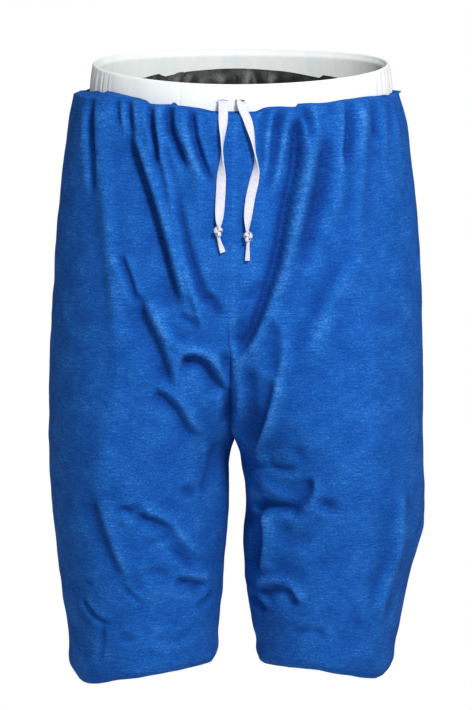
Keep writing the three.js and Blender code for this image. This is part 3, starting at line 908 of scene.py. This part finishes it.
# How far the tape has turned about its own line, in degrees, at shares of its length.
TAPE_TURNS = {
    RIGHT: ((0, 0), (0.34, 8), (0.48, 78), (0.53, 104), (0.66, 172), (0.82, 190), (0.93, 240), (1, 262)),
    LEFT: ((0, 40), (0.1, 36), (0.22, 14), (0.38, 20), (0.46, 60), (0.51, 96), (0.56, 140), (0.66, 176),
           (0.8, 200), (0.9, 245), (1, 262)),
}
TAPE_LOOKS_WIDE = 9.2
KNOT_HALF, KNOT_TAPE = (4.5, 4.4, 5.6), 1.55
TIP_LENGTH = {RIGHT: 15, LEFT: 18}
TIP_LEAN = {RIGHT: 4.5, LEFT: 0.5}
TIP_WIDTH = {RIGHT: 5.6, LEFT: 5.0}
SECTION_STEPS = 12
TAPE_STEPS, BENDS_FROM = 120, 16
EDGE_STAND_OFF = 2.6  # how much further out the tape hangs where it is turned edge on


def line_frames(path):
    """A width direction and a face direction at each point of a line that hangs down."""
    tangents = unit(np.gradient(path, axis=0))
    wide = square_to(np.array((1.0, 0, 0)), tangents)
    return wide, np.cross(wide, tangents)


def tape_rings(path, widths, thicknesses, turns):
    """Rounded flat sections along a path, with the distance along and across as UVs."""
    wide, face = line_frames(path)
    angle = full_turn(SECTION_STEPS)
    across = np.sign(np.cos(angle)) * np.abs(np.cos(angle)) ** 0.5
    through_it = np.sign(np.sin(angle)) * np.abs(np.sin(angle)) ** 0.7
    gone = running(np.linalg.norm(np.diff(path, axis=0), axis=1))
    rings, uvs = [], []
    for i, middle in enumerate(path):
        c, s = math.cos(turns[i]), math.sin(turns[i])
        u, v = c * wide[i] + s * face[i], c * face[i] - s * wide[i]
        x = across * widths[i] / 2
        rings.append(middle + x[:, None] * u + (through_it * thicknesses[i] / 2)[:, None] * v)
        uvs.append(np.stack([x * MM, np.full(SECTION_STEPS, gone[i] * MM)], axis=1))
    return rings, uvs


def make_tail(side, tape):
    """One end of the drawstring: the tape from its buttonhole, its knot and its tip."""
    name = SIDE_NAME[side]
    knot_top = np.array(TAPE_ROUTES[side][-1]) + (side * 0.4, -1.6, -2.6)
    path = smooth_line(TAPE_ROUTES[side] + (tuple(knot_top),), TAPE_STEPS)
    share = np.linspace(0, 1, TAPE_STEPS)
    places, degrees = zip(*TAPE_TURNS[side])
    turns = np.radians(np.interp(share, places, degrees))
    turns = np.convolve(np.pad(turns, 3, mode="edge"), np.ones(7) / 7, mode="valid")
    edge_on = np.sin(turns) ** 2
    path[:, 1] -= EDGE_STAND_OFF * edge_on * (1 - 0.6 * smoothstep(share, 0.8, 1))
    squeeze = 1 - 0.3 * edge_on - 0.45 * smoothstep(share, 0.86, 1) - 0.25 * (1 - smoothstep(share, 0, 0.06))
    rings, uvs = tape_rings(path, TAPE_LOOKS_WIDE * squeeze, TAPE_THICKNESS / squeeze * 0.85, turns)
    strip = ring_solid(f"drawstring_{name}_tape", rings, uvs=uvs)
    finish_piece(strip, None, "drawstring_tape", tape, f"drawstring_tail_{name}")

    lean = side * 0.6
    end = np.array(TAPE_ROUTES[side][-1])
    middle = np.array([end[0] + lean, end[1] - 2.3, end[2] - KNOT_HALF[2] - 0.6])
    knot = make_knot(side, middle)
    finish_piece(knot, f"tail_{name}", "drawstring_tape", tape, f"drawstring_knot_{name}")
    tip = make_tip(side, middle)
    finish_piece(tip, f"tail_{name}", "drawstring_tape", tape, f"drawstring_tip_{name}")

    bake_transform(strip)


def make_knot(side, middle):
    """An overhand knot pulled tight: a flat tape swept round a trefoil."""
    steps, turn_steps = 110, 9
    t = full_turn(steps)
    loop = np.stack(
        [np.sin(t) + 1.55 * np.sin(2 * t), -0.95 * np.sin(3 * t), np.cos(t) - 1.55 * np.cos(2 * t)], axis=1
    )
    half = np.array(KNOT_HALF) - KNOT_TAPE * 0.95
    line = middle + loop / np.abs(loop).max(axis=0) * half * (side, 1, 1)
    ahead = unit(np.roll(line, -1, axis=0) - np.roll(line, 1, axis=0))
    out = square_to(line - middle, ahead)
    beside = np.cross(ahead, out)
    c, s = np.cos(full_turn(turn_steps)), np.sin(full_turn(turn_steps))
    rings = [
        line[i] + c[:, None] * beside[i] * KNOT_TAPE * 1.35 + s[:, None] * out[i] * KNOT_TAPE * 0.85
        for i in range(steps)
    ]
    along = np.sin(math.pi * np.arange(steps) / steps) * 0.05
    uvs = np.stack(np.broadcast_arrays(c * 2 * MM, along[:, None]), axis=-1)
    return ring_solid(f"drawstring_{SIDE_NAME[side]}_knot", rings, hoop=True, uvs=uvs, sharp=80)


def make_tip(side, middle):
    """The end of the tape below its knot, opening out to a cut edge."""
    steps = 26
    top = middle - (0, 0, KNOT_HALF[2] - 1.6)
    share = np.linspace(0, 1, steps)
    length = TIP_LENGTH[side] + 1.3
    path = top + np.stack(
        [TIP_LEAN[side] * share**1.3 * -side, -0.6 * np.sin(share * math.pi), -length * share], axis=1
    )
    widths = lerp(3.2, TIP_WIDTH[side], smoothstep(share, 0.15, 1))
    thicknesses = lerp(2.6, 1.3, smoothstep(share, 0, 0.6))
    rings, uvs = tape_rings(path, widths, thicknesses, np.radians(lerp(-25, 20, share)))
    return ring_solid(f"drawstring_{SIDE_NAME[side]}_tip", rings, uvs=uvs)


def strip_rings(angles, near, far, top, bottom):
    """Sections of a flat strip inside the band, from its insets and its drops below the rim."""
    corners = ((near, top), (far, top), (far, bottom), (near, bottom))
    return np.stack([settle_band(band_point(angles, *corner)) for corner in corners], axis=1)


def make_run(tape):
    """The part of the drawstring inside the band, from one hole round the back to the other."""
    steps, top, bottom = 260, 12, 20
    front = [math.atan2(-band_front(HOLE_BELOW_RIM), hole_x(side)) for side in (LEFT, RIGHT)]
    rings = strip_rings(np.linspace(front[0], front[1] + TAU, steps), 1.5, 2.7, top, bottom)
    uvs = [[(drop * MM, gone) for drop in (top, top, bottom, bottom)] for gone in np.linspace(0, 0.8, steps)]
    run = ring_solid("drawstring_hidden_run", rings, uvs=uvs, sharp=40)
    finish_piece(run, "root", "drawstring_tape", tape, "drawstring_run")


# -------- Pads: where each one sits, and how much room its pocket leaves the shell.
PAD_INSET, PAD_THICKNESS = 7.6, 8
POCKET_INSET, POCKET_CLOTH, POCKET_EDGE_INSET, POCKET_MARGIN = 5, 0.8, 14.2, 22
LEG_PADS = {
    "hip": dict(turn=math.pi, height=-180, half=(54, 78)),
    "thigh": dict(turn=0.8 * math.pi, height=-404, half=(50, 72)),
    "seat": dict(turn=1.37 * math.pi, height=-277, half=(46, 52)),
}
TAILBONE = dict(height=-132, half=(36, 46))


def pad_nearness(side, points):
    """0 over the middle of a pad's pocket, 1 at its edge, and more beyond, for the nearest pad."""
    z = points[..., 2]
    nearest = np.full(z.shape, 9.0)
    for pad in LEG_PADS.values():
        spine = leg_point(side, pad["turn"], np.clip(z, HEM, SHELL_TOP), 0)
        aside = np.linalg.norm((points - spine)[..., :2], axis=-1) / (pad["half"][0] + POCKET_MARGIN)
        along = np.abs(z - pad["height"]) / (pad["half"][1] + POCKET_MARGIN)
        nearest = np.minimum(nearest, np.maximum(aside, along))
    aside = np.abs(points[..., 0]) / (TAILBONE["half"][0] + POCKET_MARGIN)
    along = np.abs(z - TAILBONE["height"]) / (TAILBONE["half"][1] + POCKET_MARGIN)
    at_back = np.where(points[..., 1] > 0, np.maximum(aside, along), 9)
    return np.minimum(nearest, at_back)


def eased(values):
    """Rows of a grid, but for the first and the last, each eased towards its neighbours."""
    return (values[:-2] + 2 * values[1:-1] + values[2:]) / 4


def blurred(values, passes):
    """Values of a grid, each eased towards its neighbours a number of times."""
    for _ in range(passes):
        values = eased(eased(np.pad(values, 1, mode="edge")).T).T
    return values


def limit(value, most):
    """Eases a height of either sign off towards a limit that may differ from point to point."""
    return most * np.tanh(value / most)


FREE_ROOM, POCKET_ROOM, BAND_ROOM, HEM_ROOM, TAPE_ROOM, EDGE_ROOM = 12.5, 2.7, 0.5, 0.4, 0.4, 0.6


def fit_height(side, points, height):
    """Keeps a fold clear of the pockets, the lining, the band, the hem and the hanging tails."""
    z = points[..., 2]
    room = lerp(POCKET_ROOM, FREE_ROOM, smoothstep(pad_nearness(side, points), 0.97, 1.12))
    room = np.minimum(room, lerp(BAND_ROOM, FREE_ROOM, smoothstep(-z, 34, 66)))
    room = np.minimum(room, lerp(HEM_ROOM, FREE_ROOM, smoothstep(z, HEM + 14, HEM + 60)))
    height = np.where(height < 0, limit(height, room), height)
    for view in (height, height.T):
        view[1:-1] = eased(view)
    in_front = points[..., 1] < 0
    for tail in SIDES:
        route = np.array(TAPE_ROUTES[tail])[::-1]
        middle = np.interp(z, route[:, 2], route[:, 0])
        apart = ((points[..., 0] - middle) / 11) ** 4
        over = in_front * np.exp(-apart) * smoothstep(z, -240, -225)
        height = np.where(height > 0, lerp(height, limit(height, TAPE_ROOM), over), height)
    at_edge = 1 - smoothstep(-z, 31, 52)
    return lerp(height, limit(height, EDGE_ROOM), at_edge)


# -------- Shell: four panels of knit, folded.
SHELL_COLUMNS = 124
CLOTH_THICKNESS = 1.6
# Painted highlight and shade on the folds: blur passes, scale on ridges (painted highlight), scale in
# valleys (painted shade), limits, and painted highlight over the seam puckers.
FOLD_LIGHT_BLUR, RIDGE_HIGHLIGHT_SCALE, VALLEY_SHADE_SCALE, FOLD_LIGHT_LIMITS, SEAM_HIGHLIGHT = 36, 0.62, 1.35, (-5, 2.2), 1.6
SHOULDER_RISE, SHOULDER_DROP = {RIGHT: 1.2, LEFT: 0.3}, 7


def crotch_height():
    """Where the two legs part: the leg's oval just touches the middle plane."""
    low, high = -450.0, -300.0
    while high - low > 1e-4:
        middle = (low + high) / 2
        if centre(middle) > reach(middle) - centre(middle):
            low = middle
        else:
            high = middle
    return float(high)


CROTCH = crotch_height()
NEAR_CROTCH = 40
PARTED = CROTCH - 0.05


def cloth_rows(above, closing, below):
    """Heights of a leg's rows: stretches above and below the crotch, as (from, to, count), and a
    number of rows that close up towards it."""
    stretches = [np.linspace(*stretch)[:-1] for stretch in above]
    stretches.append((CROTCH + NEAR_CROTCH * np.linspace(1, 0, closing) ** 2)[:-1])
    stretches += [np.linspace(*stretch)[:-1] for stretch in below[:-1]]
    return np.concatenate(stretches + [np.linspace(*below[-1])])


SHELL_ROWS = cloth_rows(
    above=((SHELL_TOP, -34, 14), (-34, -46, 7), (-46, CROTCH + NEAR_CROTCH, 124)),
    closing=26,
    below=((PARTED, -588, 92), (-588, HEM, 11)),
)
LINING_ROWS = cloth_rows(
    above=((LINING_TOP, -70, 34), (-70, CROTCH + NEAR_CROTCH, 52)),
    closing=20,
    below=((PARTED, HEM + FACING_HEIGHT + 1, 44),),
)


def turnwise(points):
    """Distance round the waist from the middle of the front, with the sign of X."""
    angle = np.arctan2(points[..., 0], -points[..., 1] * BAND_HALF_WIDTH / BAND_HALF_DEPTH)
    return angle * (BAND_HALF_WIDTH + BAND_HALF_DEPTH) / 2


def cloth_uvs(points):
    """Distances along the rows from the side seam, and down them, in metres."""
    steps = np.linalg.norm(np.diff(points, axis=1), axis=-1)
    along = np.concatenate([np.zeros((len(points), 1)), np.cumsum(steps, axis=1)], axis=1)
    along -= along[:, [points.shape[1] // 2]]
    return np.stack([along, -points[..., 2]], axis=-1) * MM


# How far the shell's top edge climbs over the band's lower edge, along X across the front.
edge_rise = through(
    (175, -3), (156, -1), (132, 5), (108, 7), (84, 6.6), (61.5, 7), (59, 3.8), (40, 4.6), (29, 4),
    (21, 0.6), (4, 1), (-20, 1), (-36, 3.4), (-52, 4.2), (-57.5, 4.6), (-59.5, 7), (-84, 5.8),
    (-87, 8), (-116, 10), (-132, 9.5), (-134, 7.5), (-140, 7), (-156, 1), (-175, 1),
)  # fmt: skip


def edge_steps(points):
    """The shell's top edge: the band is sewn over its pleats, so the edge climbs in small steps."""
    in_front = smoothstep(-points[..., 1], 0, 25)
    around = turnwise(points)
    behind = 3.2 + 0.9 * np.sin(around / 11) + 0.6 * np.sign(np.sin(around / 19))
    behind = behind * smoothstep(points[..., 1], 35, 80) - 0.6
    return lerp(behind, edge_rise(points[..., 0]) - 0.8, in_front)


def panels(kind, side, outer, inner, uvs, sharp):
    """A leg's front and back panels, each with the columns of the grids that it takes."""
    seam = outer.shape[1] // 2
    for face, part in (("front", slice(0, seam + 1)), ("back", slice(seam, None))):
        name = f"{kind}_{face}_{SIDE_NAME[side]}_cloth"
        yield grid_solid(name, outer[:, part], inner[:, part], uvs[:, part], sharp), part


def make_shell(side, knit):
    """The two shell panels of one leg, folded and settled."""
    rows = SHELL_ROWS
    base = leg_grid(side, rows, shell_inset(rows), SHELL_COLUMNS)
    uvs = cloth_uvs(base)
    normals = leg_normals(side, base, rows)
    height = fit_height(side, base, shell_height(base, normals, turnwise(base)))
    # Painted highlight and shade: cloth above its blurred surroundings gets paler, cloth below gets darker,
    # and the seam puckers get paler.
    stands_out = height - blurred(height, FOLD_LIGHT_BLUR)
    painted_fold_light = np.clip(stands_out * np.where(stands_out > 0, RIDGE_HIGHLIGHT_SCALE, VALLEY_SHADE_SCALE), *FOLD_LIGHT_LIMITS)
    painted_fold_light += SEAM_HIGHLIGHT * seam_puckers(base)
    outer = base + height[..., None] * normals
    near_band = 1 - smoothstep(-rows, 29, 62)
    outer[..., 2] += near_band[:, None] * edge_steps(outer)
    shoulder = smoothstep(-rows, 27.4, 28.3) * (1 - smoothstep(-rows, 30, 48))
    at_side = smoothstep(np.abs(outer[..., 0]), 138, 152)
    slope = SHOULDER_RISE[side] * (1 - smoothstep(outer[..., 1], -2, 12))
    slope -= SHOULDER_DROP * smoothstep(outer[..., 1], 0, 20)
    outer[..., 2] += shoulder[:, None] * at_side * slope
    cloth = grid_normals(outer, normals)
    joined = rows < CROTCH
    cloth[joined, 0] = cloth[joined, -1] = normals[joined, 0]
    cloth[~joined, 0] = normals[~joined, 0]
    cloth[~joined, -1] = normals[~joined, -1]
    inner = outer - CLOTH_THICKNESS * cloth
    outer, inner = settle(outer), settle(inner)
    for panel, part in panels("shell", side, outer, inner, uvs, sharp=75):
        # Stores the painted highlight and shade for the knit's colour.
        layer = panel.data.attributes.new("painted_fold_light", "FLOAT", "POINT")
        layer.data.foreach_set("value", np.tile(painted_fold_light[:, part].ravel(), 2))
        finish_piece(panel, "root", "shell_knit", knit, panel.name.removesuffix("_cloth"))


# -------- Lining, and the facing inside each hem.
LINING_COLUMNS = 96
LINING_GATHER, LINING_CREASES, LINING_OUT, LINING_IN = 0.6, 11, 1.0, 7.0
LINING_EDGE, LINING_EDGE_FALL, LINING_EDGE_REACH = 5.8, 9, 98


def make_lining(side, fabric):
    """The two lining panels of one leg, crumpled below the band."""
    rows = LINING_ROWS
    base = leg_grid(side, rows, lining_inset(rows), LINING_COLUMNS)
    uvs = cloth_uvs(base)
    normals = leg_normals(side, base, rows)
    round_waist = turnwise(base)
    drop = -base[..., 2]
    gather = np.sin(round_waist / 2.1 + 3 * noise_at(base, (18, 18, 6)))
    height = LINING_GATHER * gather * (1 - smoothstep(drop, 24, 90))
    creases = np.abs(noise_at(base, (34, 34, 26))) + 0.6 * np.abs(noise_at(base + 300, (70, 70, 52)))
    height += 2.0 - LINING_CREASES * creases + 2 * noise_at(base, (12, 12, 12))
    height = limit(height, np.where(height > 0, LINING_OUT, LINING_IN))
    tucked = 9 * smoothstep(np.abs(base[..., 0]), 60, 110)
    held = smoothstep(drop - tucked, -LINING_TOP, 34)
    held = held * smoothstep(base[..., 2], HEM + FACING_HEIGHT, HEM + 50)
    outer = base + (height * lerp(0.25, 1, held))[..., None] * normals
    ragged = LINING_EDGE + 1.2 * noise_at(base, (17, 17, 0)) + 0.8 * noise_at(base, (60, 60, 0))
    ragged -= LINING_EDGE_FALL * np.minimum(np.abs(base[..., 0]) / LINING_EDGE_REACH, 1) ** 2
    outer[..., 2] += (1 - smoothstep(drop, -LINING_TOP, 40)) * ragged
    inner = outer - LINING_CLOTH * 0.8 * normals
    outer, inner = settle(outer, 60), settle(inner, 60)
    for panel, _ in panels("lining", side, outer, inner, uvs, sharp=80):
        finish_piece(panel, "root", "lining_fabric", fabric, panel.name.removesuffix("_cloth"))


STITCH_INSET, HEM_THREAD, HOLE_THREAD = 10.35, 0.28, 0.36


def make_facing(side, knit, thread):
    """The turned-up hem: a band of the shell's own knit behind its lower edge, with its stitches."""
    count = 220
    turns = full_turn(count)
    profile = ((0.0, 2.4), (0.4, 7.1), (0.7, 8.0), (1.0, 8.6))
    section = [(HEM + FACING_HEIGHT * share, inset) for share, inset in profile]
    section += [(height + 0.2, inset + SHELL_CLOTH) for height, inset in section[::-1]]
    rings = np.stack([settle(leg_point(side, turns, height, inset)) for height, inset in section], axis=1)
    length = np.linspace(0, 0.6, count)
    uvs = [[(at, (inset - height) * MM) for height, inset in section] for at in length]
    name = f"hem_facing_{SIDE_NAME[side]}"
    facing = ring_solid(f"{name}_cloth", rings, hoop=True, uvs=uvs, sharp=60)
    finish_piece(facing, "root", "shell_knit", knit, name)

    stitches = []
    for i, turn in enumerate(turns):
        shares = (0.74, 0.86) if i % 2 else (0.86, 0.74)
        ends = zip((turn + 0.001, turn + TAU / count * 0.72), shares)
        stitches.append([settle(leg_point(side, t, HEM + FACING_HEIGHT * h, STITCH_INSET)) for t, h in ends])
    line = stitch_object(f"hem_stitches_{SIDE_NAME[side]}", stitches, HEM_THREAD)
    finish_piece(line, "root", "thread", thread)


def stitch_object(name, stitches, radius):
    """Short rounded lengths of thread, each between two points, as one piece."""
    profile = ((0.0, 0.25), (0.12, 0.85), (0.5, 1.0), (0.88, 0.85), (1.0, 0.25))
    angle = full_turn(6)
    c, s = np.cos(angle)[:, None], np.sin(angle)[:, None]
    rings, faces = [], []
    for a, b in stitches:
        along = unit(b - a)
        beside = unit(np.cross(along, (0.3, 0.2, 0.93)))
        over = np.cross(along, beside)
        faces += ring_faces(len(profile), len(angle), first=len(rings) * len(angle))
        rings += [lerp(a, b, share) + radius * size * (c * beside + s * over) for share, size in profile]
    points = np.concatenate(rings)
    return new_object(name, points, faces, sharp=80)


# -------- Waistband, its elastic and its buttonholes.
BAND_TURN_STEPS = 900
BAND_REACH = 0.122  # metres, the mean of the band's half width and half depth
RIM_THICKNESS, RIM_ROUNDING = 3.4, 1.6
SIDE_GATHER, BAND_CROWN = 0.42, 0.5
JOINS, JOIN_DEPTH, JOIN_DEGREES = (-130, -56), 0.3, 1.1 / 2.6


def band_relief(angle, drop):
    """How far the band's face stands out: gathers at the sides, joins, and a soft middle."""
    around = np.degrees(angle)
    sideways = np.abs((around + 180) % 360 - 180)
    from_side = np.minimum(sideways, 180 - sideways)
    behind = smoothstep(np.sin(angle), -0.1, 0.5)
    gathered = np.maximum(1 - smoothstep(from_side, 14, 38), 0.3 * behind)
    wander = 1.2 * np.sin(angle * 7) + 0.8 * np.sin(angle * 19 + 1) + 0.02 * drop
    pleats = np.sin(angle * 74 + wander) + 0.5 * np.sin(angle * 113 + 2 * wander)
    relief = SIDE_GATHER * pleats * gathered * smoothstep(drop, -1, 9)
    middle = np.clip(1 - ((drop - BAND_HEIGHT / 2) / (BAND_HEIGHT / 2)) ** 2, 0, 1)
    relief = relief + BAND_CROWN * middle
    for at in JOINS:
        join = math.degrees(math.acos(at / BAND_HALF_WIDTH))
        relief -= JOIN_DEPTH * bell(around, -join, JOIN_DEGREES)
    return relief


def band_section():
    """The band's outline from its outer lower edge over the rim and back inside, as (inset, drop,
    share of the relief)."""
    section = [(0.0, drop, 1.0) for drop in np.linspace(BAND_HEIGHT, RIM_ROUNDING, 15)]
    for turn in np.radians(np.linspace(20, 160, 8)):
        inset, drop = RIM_THICKNESS / 2 * (1 - math.cos(turn)), RIM_ROUNDING * (1 - math.sin(turn))
        section.append((inset, drop, 0.2))
    for drop in np.linspace(RIM_ROUNDING, BAND_INNER_HEIGHT, 13):
        thick = lerp(RIM_THICKNESS, BAND_THICKNESS, smoothstep(drop, RIM_ROUNDING, 6))
        section.append((thick, drop, -0.25))
    for drop in (BAND_INNER_HEIGHT, BAND_INNER_HEIGHT / 2, 6.0, 4.2):
        section.append((BAND_THICKNESS - BAND_CLOTH - (0.9 if drop < 5 else 0), drop, 0.0))
    return section + [(BAND_CLOTH, drop, 1.0) for drop in (4.2, BAND_HEIGHT / 2, BAND_HEIGHT)]


def make_band(rib):
    """The waistband. Its inner layer hangs lower at the sides than in the middle."""
    angles = np.linspace(-math.pi, math.pi, BAND_TURN_STEPS, endpoint=False)
    sideways = np.abs(np.cos(angles))
    longer = 7.5 * smoothstep(sideways, 0.3, 0.75) - 3.2 * (1 - smoothstep(sideways, 0, 0.5))
    rings, uvs = [], []
    away, last = 0.0, None
    for inset, drop, follow in band_section():
        out = band_relief(angles, drop) * follow
        if inset == BAND_CLOTH:
            out = np.minimum(out, 0)
        inner = inset > BAND_THICKNESS - BAND_CLOTH - 0.1 and drop > BAND_INNER_HEIGHT / 2
        lower = drop + longer * (drop / BAND_INNER_HEIGHT) ** 2 if inner else drop
        rings.append(settle_band(band_point(angles, inset - out, lower)))
        away += math.dist(last, (inset, drop)) if last else 0
        last = inset, drop
        uvs.append(np.stack([angles * BAND_REACH, np.full(len(angles), away * MM)], axis=1))
    rings, uvs = np.stack(rings, axis=1), np.stack(uvs, axis=1)
    band = ring_solid("waistband_knit", rings, hoop=True, uvs=uvs, sharp=70)
    for side in SIDES:
        cut(band, slit(side))
    finish_piece(band, "root", "waistband_rib", rib, "waistband")


def slit(side):
    """The room that a buttonhole takes out of the band's front layer."""
    half_width, half_height = HOLE_WIDTH / 2, HOLE_HEIGHT / 3
    angle = full_turn(20)
    x = hole_x(side) + half_width * np.sign(np.cos(angle)) * np.abs(np.cos(angle)) ** 0.7
    z = HOLE_Z + half_height * np.sin(angle)
    near, far = -band_front(HOLE_BELOW_RIM) - 3, -band_front(HOLE_BELOW_RIM) + 3
    rings = [np.stack([x, np.full(len(x), y), z], axis=1) for y in (near, far)]
    return ring_solid("slit", rings)


def cut(piece, cutter):
    """Takes cutter's volume out of piece, and cutter itself out of the scene."""
    modifier = piece.modifiers.new("cut", "BOOLEAN")
    modifier.operation = "DIFFERENCE"
    modifier.solver = "EXACT"
    modifier.object = cutter
    graph = bpy.context.evaluated_depsgraph_get()
    made = bpy.data.meshes.new_from_object(piece.evaluated_get(graph))
    piece.modifiers.clear()
    old = piece.data
    piece.data = made
    bpy.data.meshes.remove(old)
    bpy.data.objects.remove(cutter)


def make_elastic(material):
    """The flat elastic inside the band."""
    angles = np.linspace(-math.pi, math.pi, 360, endpoint=False)
    top, bottom = 6, 22
    rings = strip_rings(angles, 3.1, 4.3, top, bottom)
    uvs = [[(a * BAND_REACH, drop * MM) for drop in (top, top, bottom, bottom)] for a in angles]
    elastic = ring_solid("waist_elastic_web", rings, hoop=True, uvs=uvs, sharp=40)
    finish_piece(elastic, "root", "elastic", material, "waist_elastic")


def make_buttonhole(side, thread):
    """Close radial stitches round the slit."""
    y = -band_front(HOLE_BELOW_RIM) - 0.9
    stitches = []
    for t in full_turn(54):
        inner = np.array([hole_x(side) + 5.2 * math.cos(t), y, HOLE_Z + 1.3 * math.sin(t)])
        outer = np.array([hole_x(side) + 6.4 * math.cos(t), y + 0.15, HOLE_Z + 2.5 * math.sin(t)])
        stitches.append((inner, outer))
    ring = stitch_object(f"buttonhole_{SIDE_NAME[side]}_stitches", stitches, HOLE_THREAD)
    finish_piece(ring, "root", "thread", thread, f"buttonhole_{SIDE_NAME[side]}")


# -------- Pads and their pockets.
ROUNDNESS = 0.6
PAD_CELL, PAD_GROOVE, PAD_FILL = 13.0, 1.6, 0.85


def patch_grid(half, rows, columns):
    """Points of a rounded rectangle: across, along, and the share of the way to its rim."""
    across, along = np.meshgrid(np.linspace(-1, 1, columns), np.linspace(1, -1, rows))
    rim = np.maximum(np.abs(across), np.abs(along))
    ring = np.sqrt(across**2 + along**2)
    shrink = lerp(1, rim / np.maximum(ring, BRINK), ROUNDNESS * rim**2)
    return across * shrink * half[0], along * shrink * half[1], rim


def on_leg(side, turn, height):
    """A placer for points across a leg at a turn, where across is a distance round the leg."""

    def place(across, along, inset):
        at = height + along
        depth = front_depth(at)
        width = reach(at) - centre(at)
        speed = np.hypot(width * math.sin(turn), depth * math.cos(turn))
        return leg_point(side, turn + across / speed, at, inset)

    return place


def on_back(height):
    """A placer for points over the middle of the back."""

    def place(across, along, inset):
        at = height + along
        sides = np.where(across < 0, RIGHT, LEFT)
        width = reach(at) - centre(at) - inset
        turn = np.arccos(np.clip((centre(at) - np.abs(across)) / width, -1, 1))
        points = [leg_point(side, TAU - turn, at, inset) for side in SIDES]
        return np.where((sides == RIGHT)[..., None], points[0], points[1])

    return place


def pad_places():
    """Each pad's name, the placer for its points, and its half sizes."""
    for name, pad in LEG_PADS.items():
        for side in SIDES:
            yield f"{name}_{SIDE_NAME[side]}", on_leg(side, pad["turn"], pad["height"]), pad["half"]
    yield "tailbone", on_back(TAILBONE["height"]), TAILBONE["half"]


def make_pads(foam, mesh):
    """The foam pads, crossed by grooves, each in its mesh pocket."""
    for name, place, half in pad_places():
        pad_node = f"{name}_pad"
        across, along, rim = patch_grid((half[0] - 0.5, half[1] - 0.5), 73, 55)
        crown = 1 - 0.75 * rim**4
        cells = [np.abs(lean / PAD_CELL % 1 - 0.5) for lean in (across + along, across - along)]
        groove = smoothstep(np.maximum(*cells), 0.38, 0.5)
        relief = PAD_GROOVE * groove * (1 - smoothstep(rim, 0.8, 0.95))
        outer = settle(place(across, along, PAD_INSET + 0.15 + relief))
        inner = settle(place(across, along, PAD_INSET + np.maximum(PAD_THICKNESS * crown - 0.2, 2.2)))
        pad = grid_solid(f"{pad_node}_foam", outer, inner, sharp=50)
        finish_piece(pad, "root", "foam", foam, pad_node)

        pocket_node = f"{pad_node}_pocket"
        size = (half[0] + POCKET_MARGIN, half[1] + POCKET_MARGIN)
        across, along, rim = patch_grid(size, 81, 61)
        inset = lerp(POCKET_INSET, POCKET_EDGE_INSET, smoothstep(rim, 0.76, 1))
        outer = settle(place(across, along, inset))
        inner = settle(place(across, along, inset + POCKET_CLOTH))
        uvs = np.stack([across, along], axis=-1) * MM
        pocket = grid_solid(f"{pocket_node}_net", outer, inner, uvs, sharp=50)
        finish_piece(pocket, "root", "pocket_mesh", mesh, pocket_node)


# -------- Floor and lights.
def add_stage():
    """A round pale floor well below the shorts."""
    radius, steps, floor = 2200, 96, -1200
    ring = [(radius * math.cos(t), radius * math.sin(t), floor) for t in full_turn(steps)]
    disc = new_object("studio_floor", ring, [list(range(steps))])
    nodes = Nodes("studio_floor", 0.95, 0.0)
    nodes.shader.inputs["Base Color"].default_value = (0.9, 0.9, 0.9, 1)
    disc.data.materials.append(nodes.material)
    disc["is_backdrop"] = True


def add_area(name, azimuth, elevation, distance, size, power):
    """A square lamp that faces the shorts. Azimuth 0 is in front of them, and 90 is on +X."""
    lamp = bpy.data.lights.new(name, "AREA")
    lamp.energy = power
    lamp.size = size
    holder = bpy.data.objects.new(name, lamp)
    a, e = math.radians(azimuth), math.radians(elevation)
    direction = Vector((math.sin(a) * math.cos(e), -math.cos(a) * math.cos(e), math.sin(e)))
    holder.location = VIEW_MIDDLE + distance * direction
    holder.rotation_euler = (-direction).to_track_quat("-Z", "Y").to_euler()
    bpy.context.scene.collection.objects.link(holder)


WORLD_FILL = 0.34


def add_world():
    """A white surround that lights the shorts more softly than it shows."""
    world = bpy.data.worlds.new("studio")
    world.use_nodes = True
    tree = world.node_tree
    fill = tree.nodes["Background"]
    fill.inputs["Color"].default_value = (1, 1, 1, 1)
    fill.inputs["Strength"].default_value = WORLD_FILL
    white = tree.nodes.new("ShaderNodeBackground")
    white.inputs["Color"].default_value = (1, 1, 1, 1)
    white.inputs["Strength"].default_value = 1.0
    either = tree.nodes.new("ShaderNodeMixShader")
    tree.links.new(tree.nodes.new("ShaderNodeLightPath").outputs["Is Camera Ray"], either.inputs["Fac"])
    tree.links.new(fill.outputs[0], either.inputs[1])
    tree.links.new(white.outputs[0], either.inputs[2])
    tree.links.new(either.outputs[0], tree.nodes["World Output"].inputs["Surface"])
    bpy.context.scene.world = world


def add_lights():
    """A key lamp high on the right, a weak broad one low on the left, and the white surround."""
    add_world()
    add_area("key", azimuth=22, elevation=38, distance=2.6, size=0.5, power=69.5)
    add_area("front_fill", azimuth=-20, elevation=4, distance=3.2, size=1.4, power=8)
    bpy.context.scene.view_settings.view_transform = "Standard"


def main():
    add_camera()
    tape = tape_material()
    white_thread = thread_material("thread_white", srgb(214, 214, 222), srgb(240, 240, 244))
    blue_thread = thread_material("thread_blue", srgb(14, 52, 118), srgb(30, 90, 172))
    for side in SIDES:
        make_tail(side, tape)
    make_run(tape)
    knit = knit_material()
    lining = lining_material()
    make_band(band_material())
    make_elastic(elastic_material())
    for side in SIDES:
        make_buttonhole(side, white_thread)
        make_shell(side, knit)
        make_lining(side, lining)
        make_facing(side, knit, blue_thread)
    make_pads(foam_material(), mesh_material())
    add_stage()
    add_lights()


main()
both = {"cad": cad_box, "visual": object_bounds()}
{key: [list(corner) for corner in box] for key, box in both.items()}
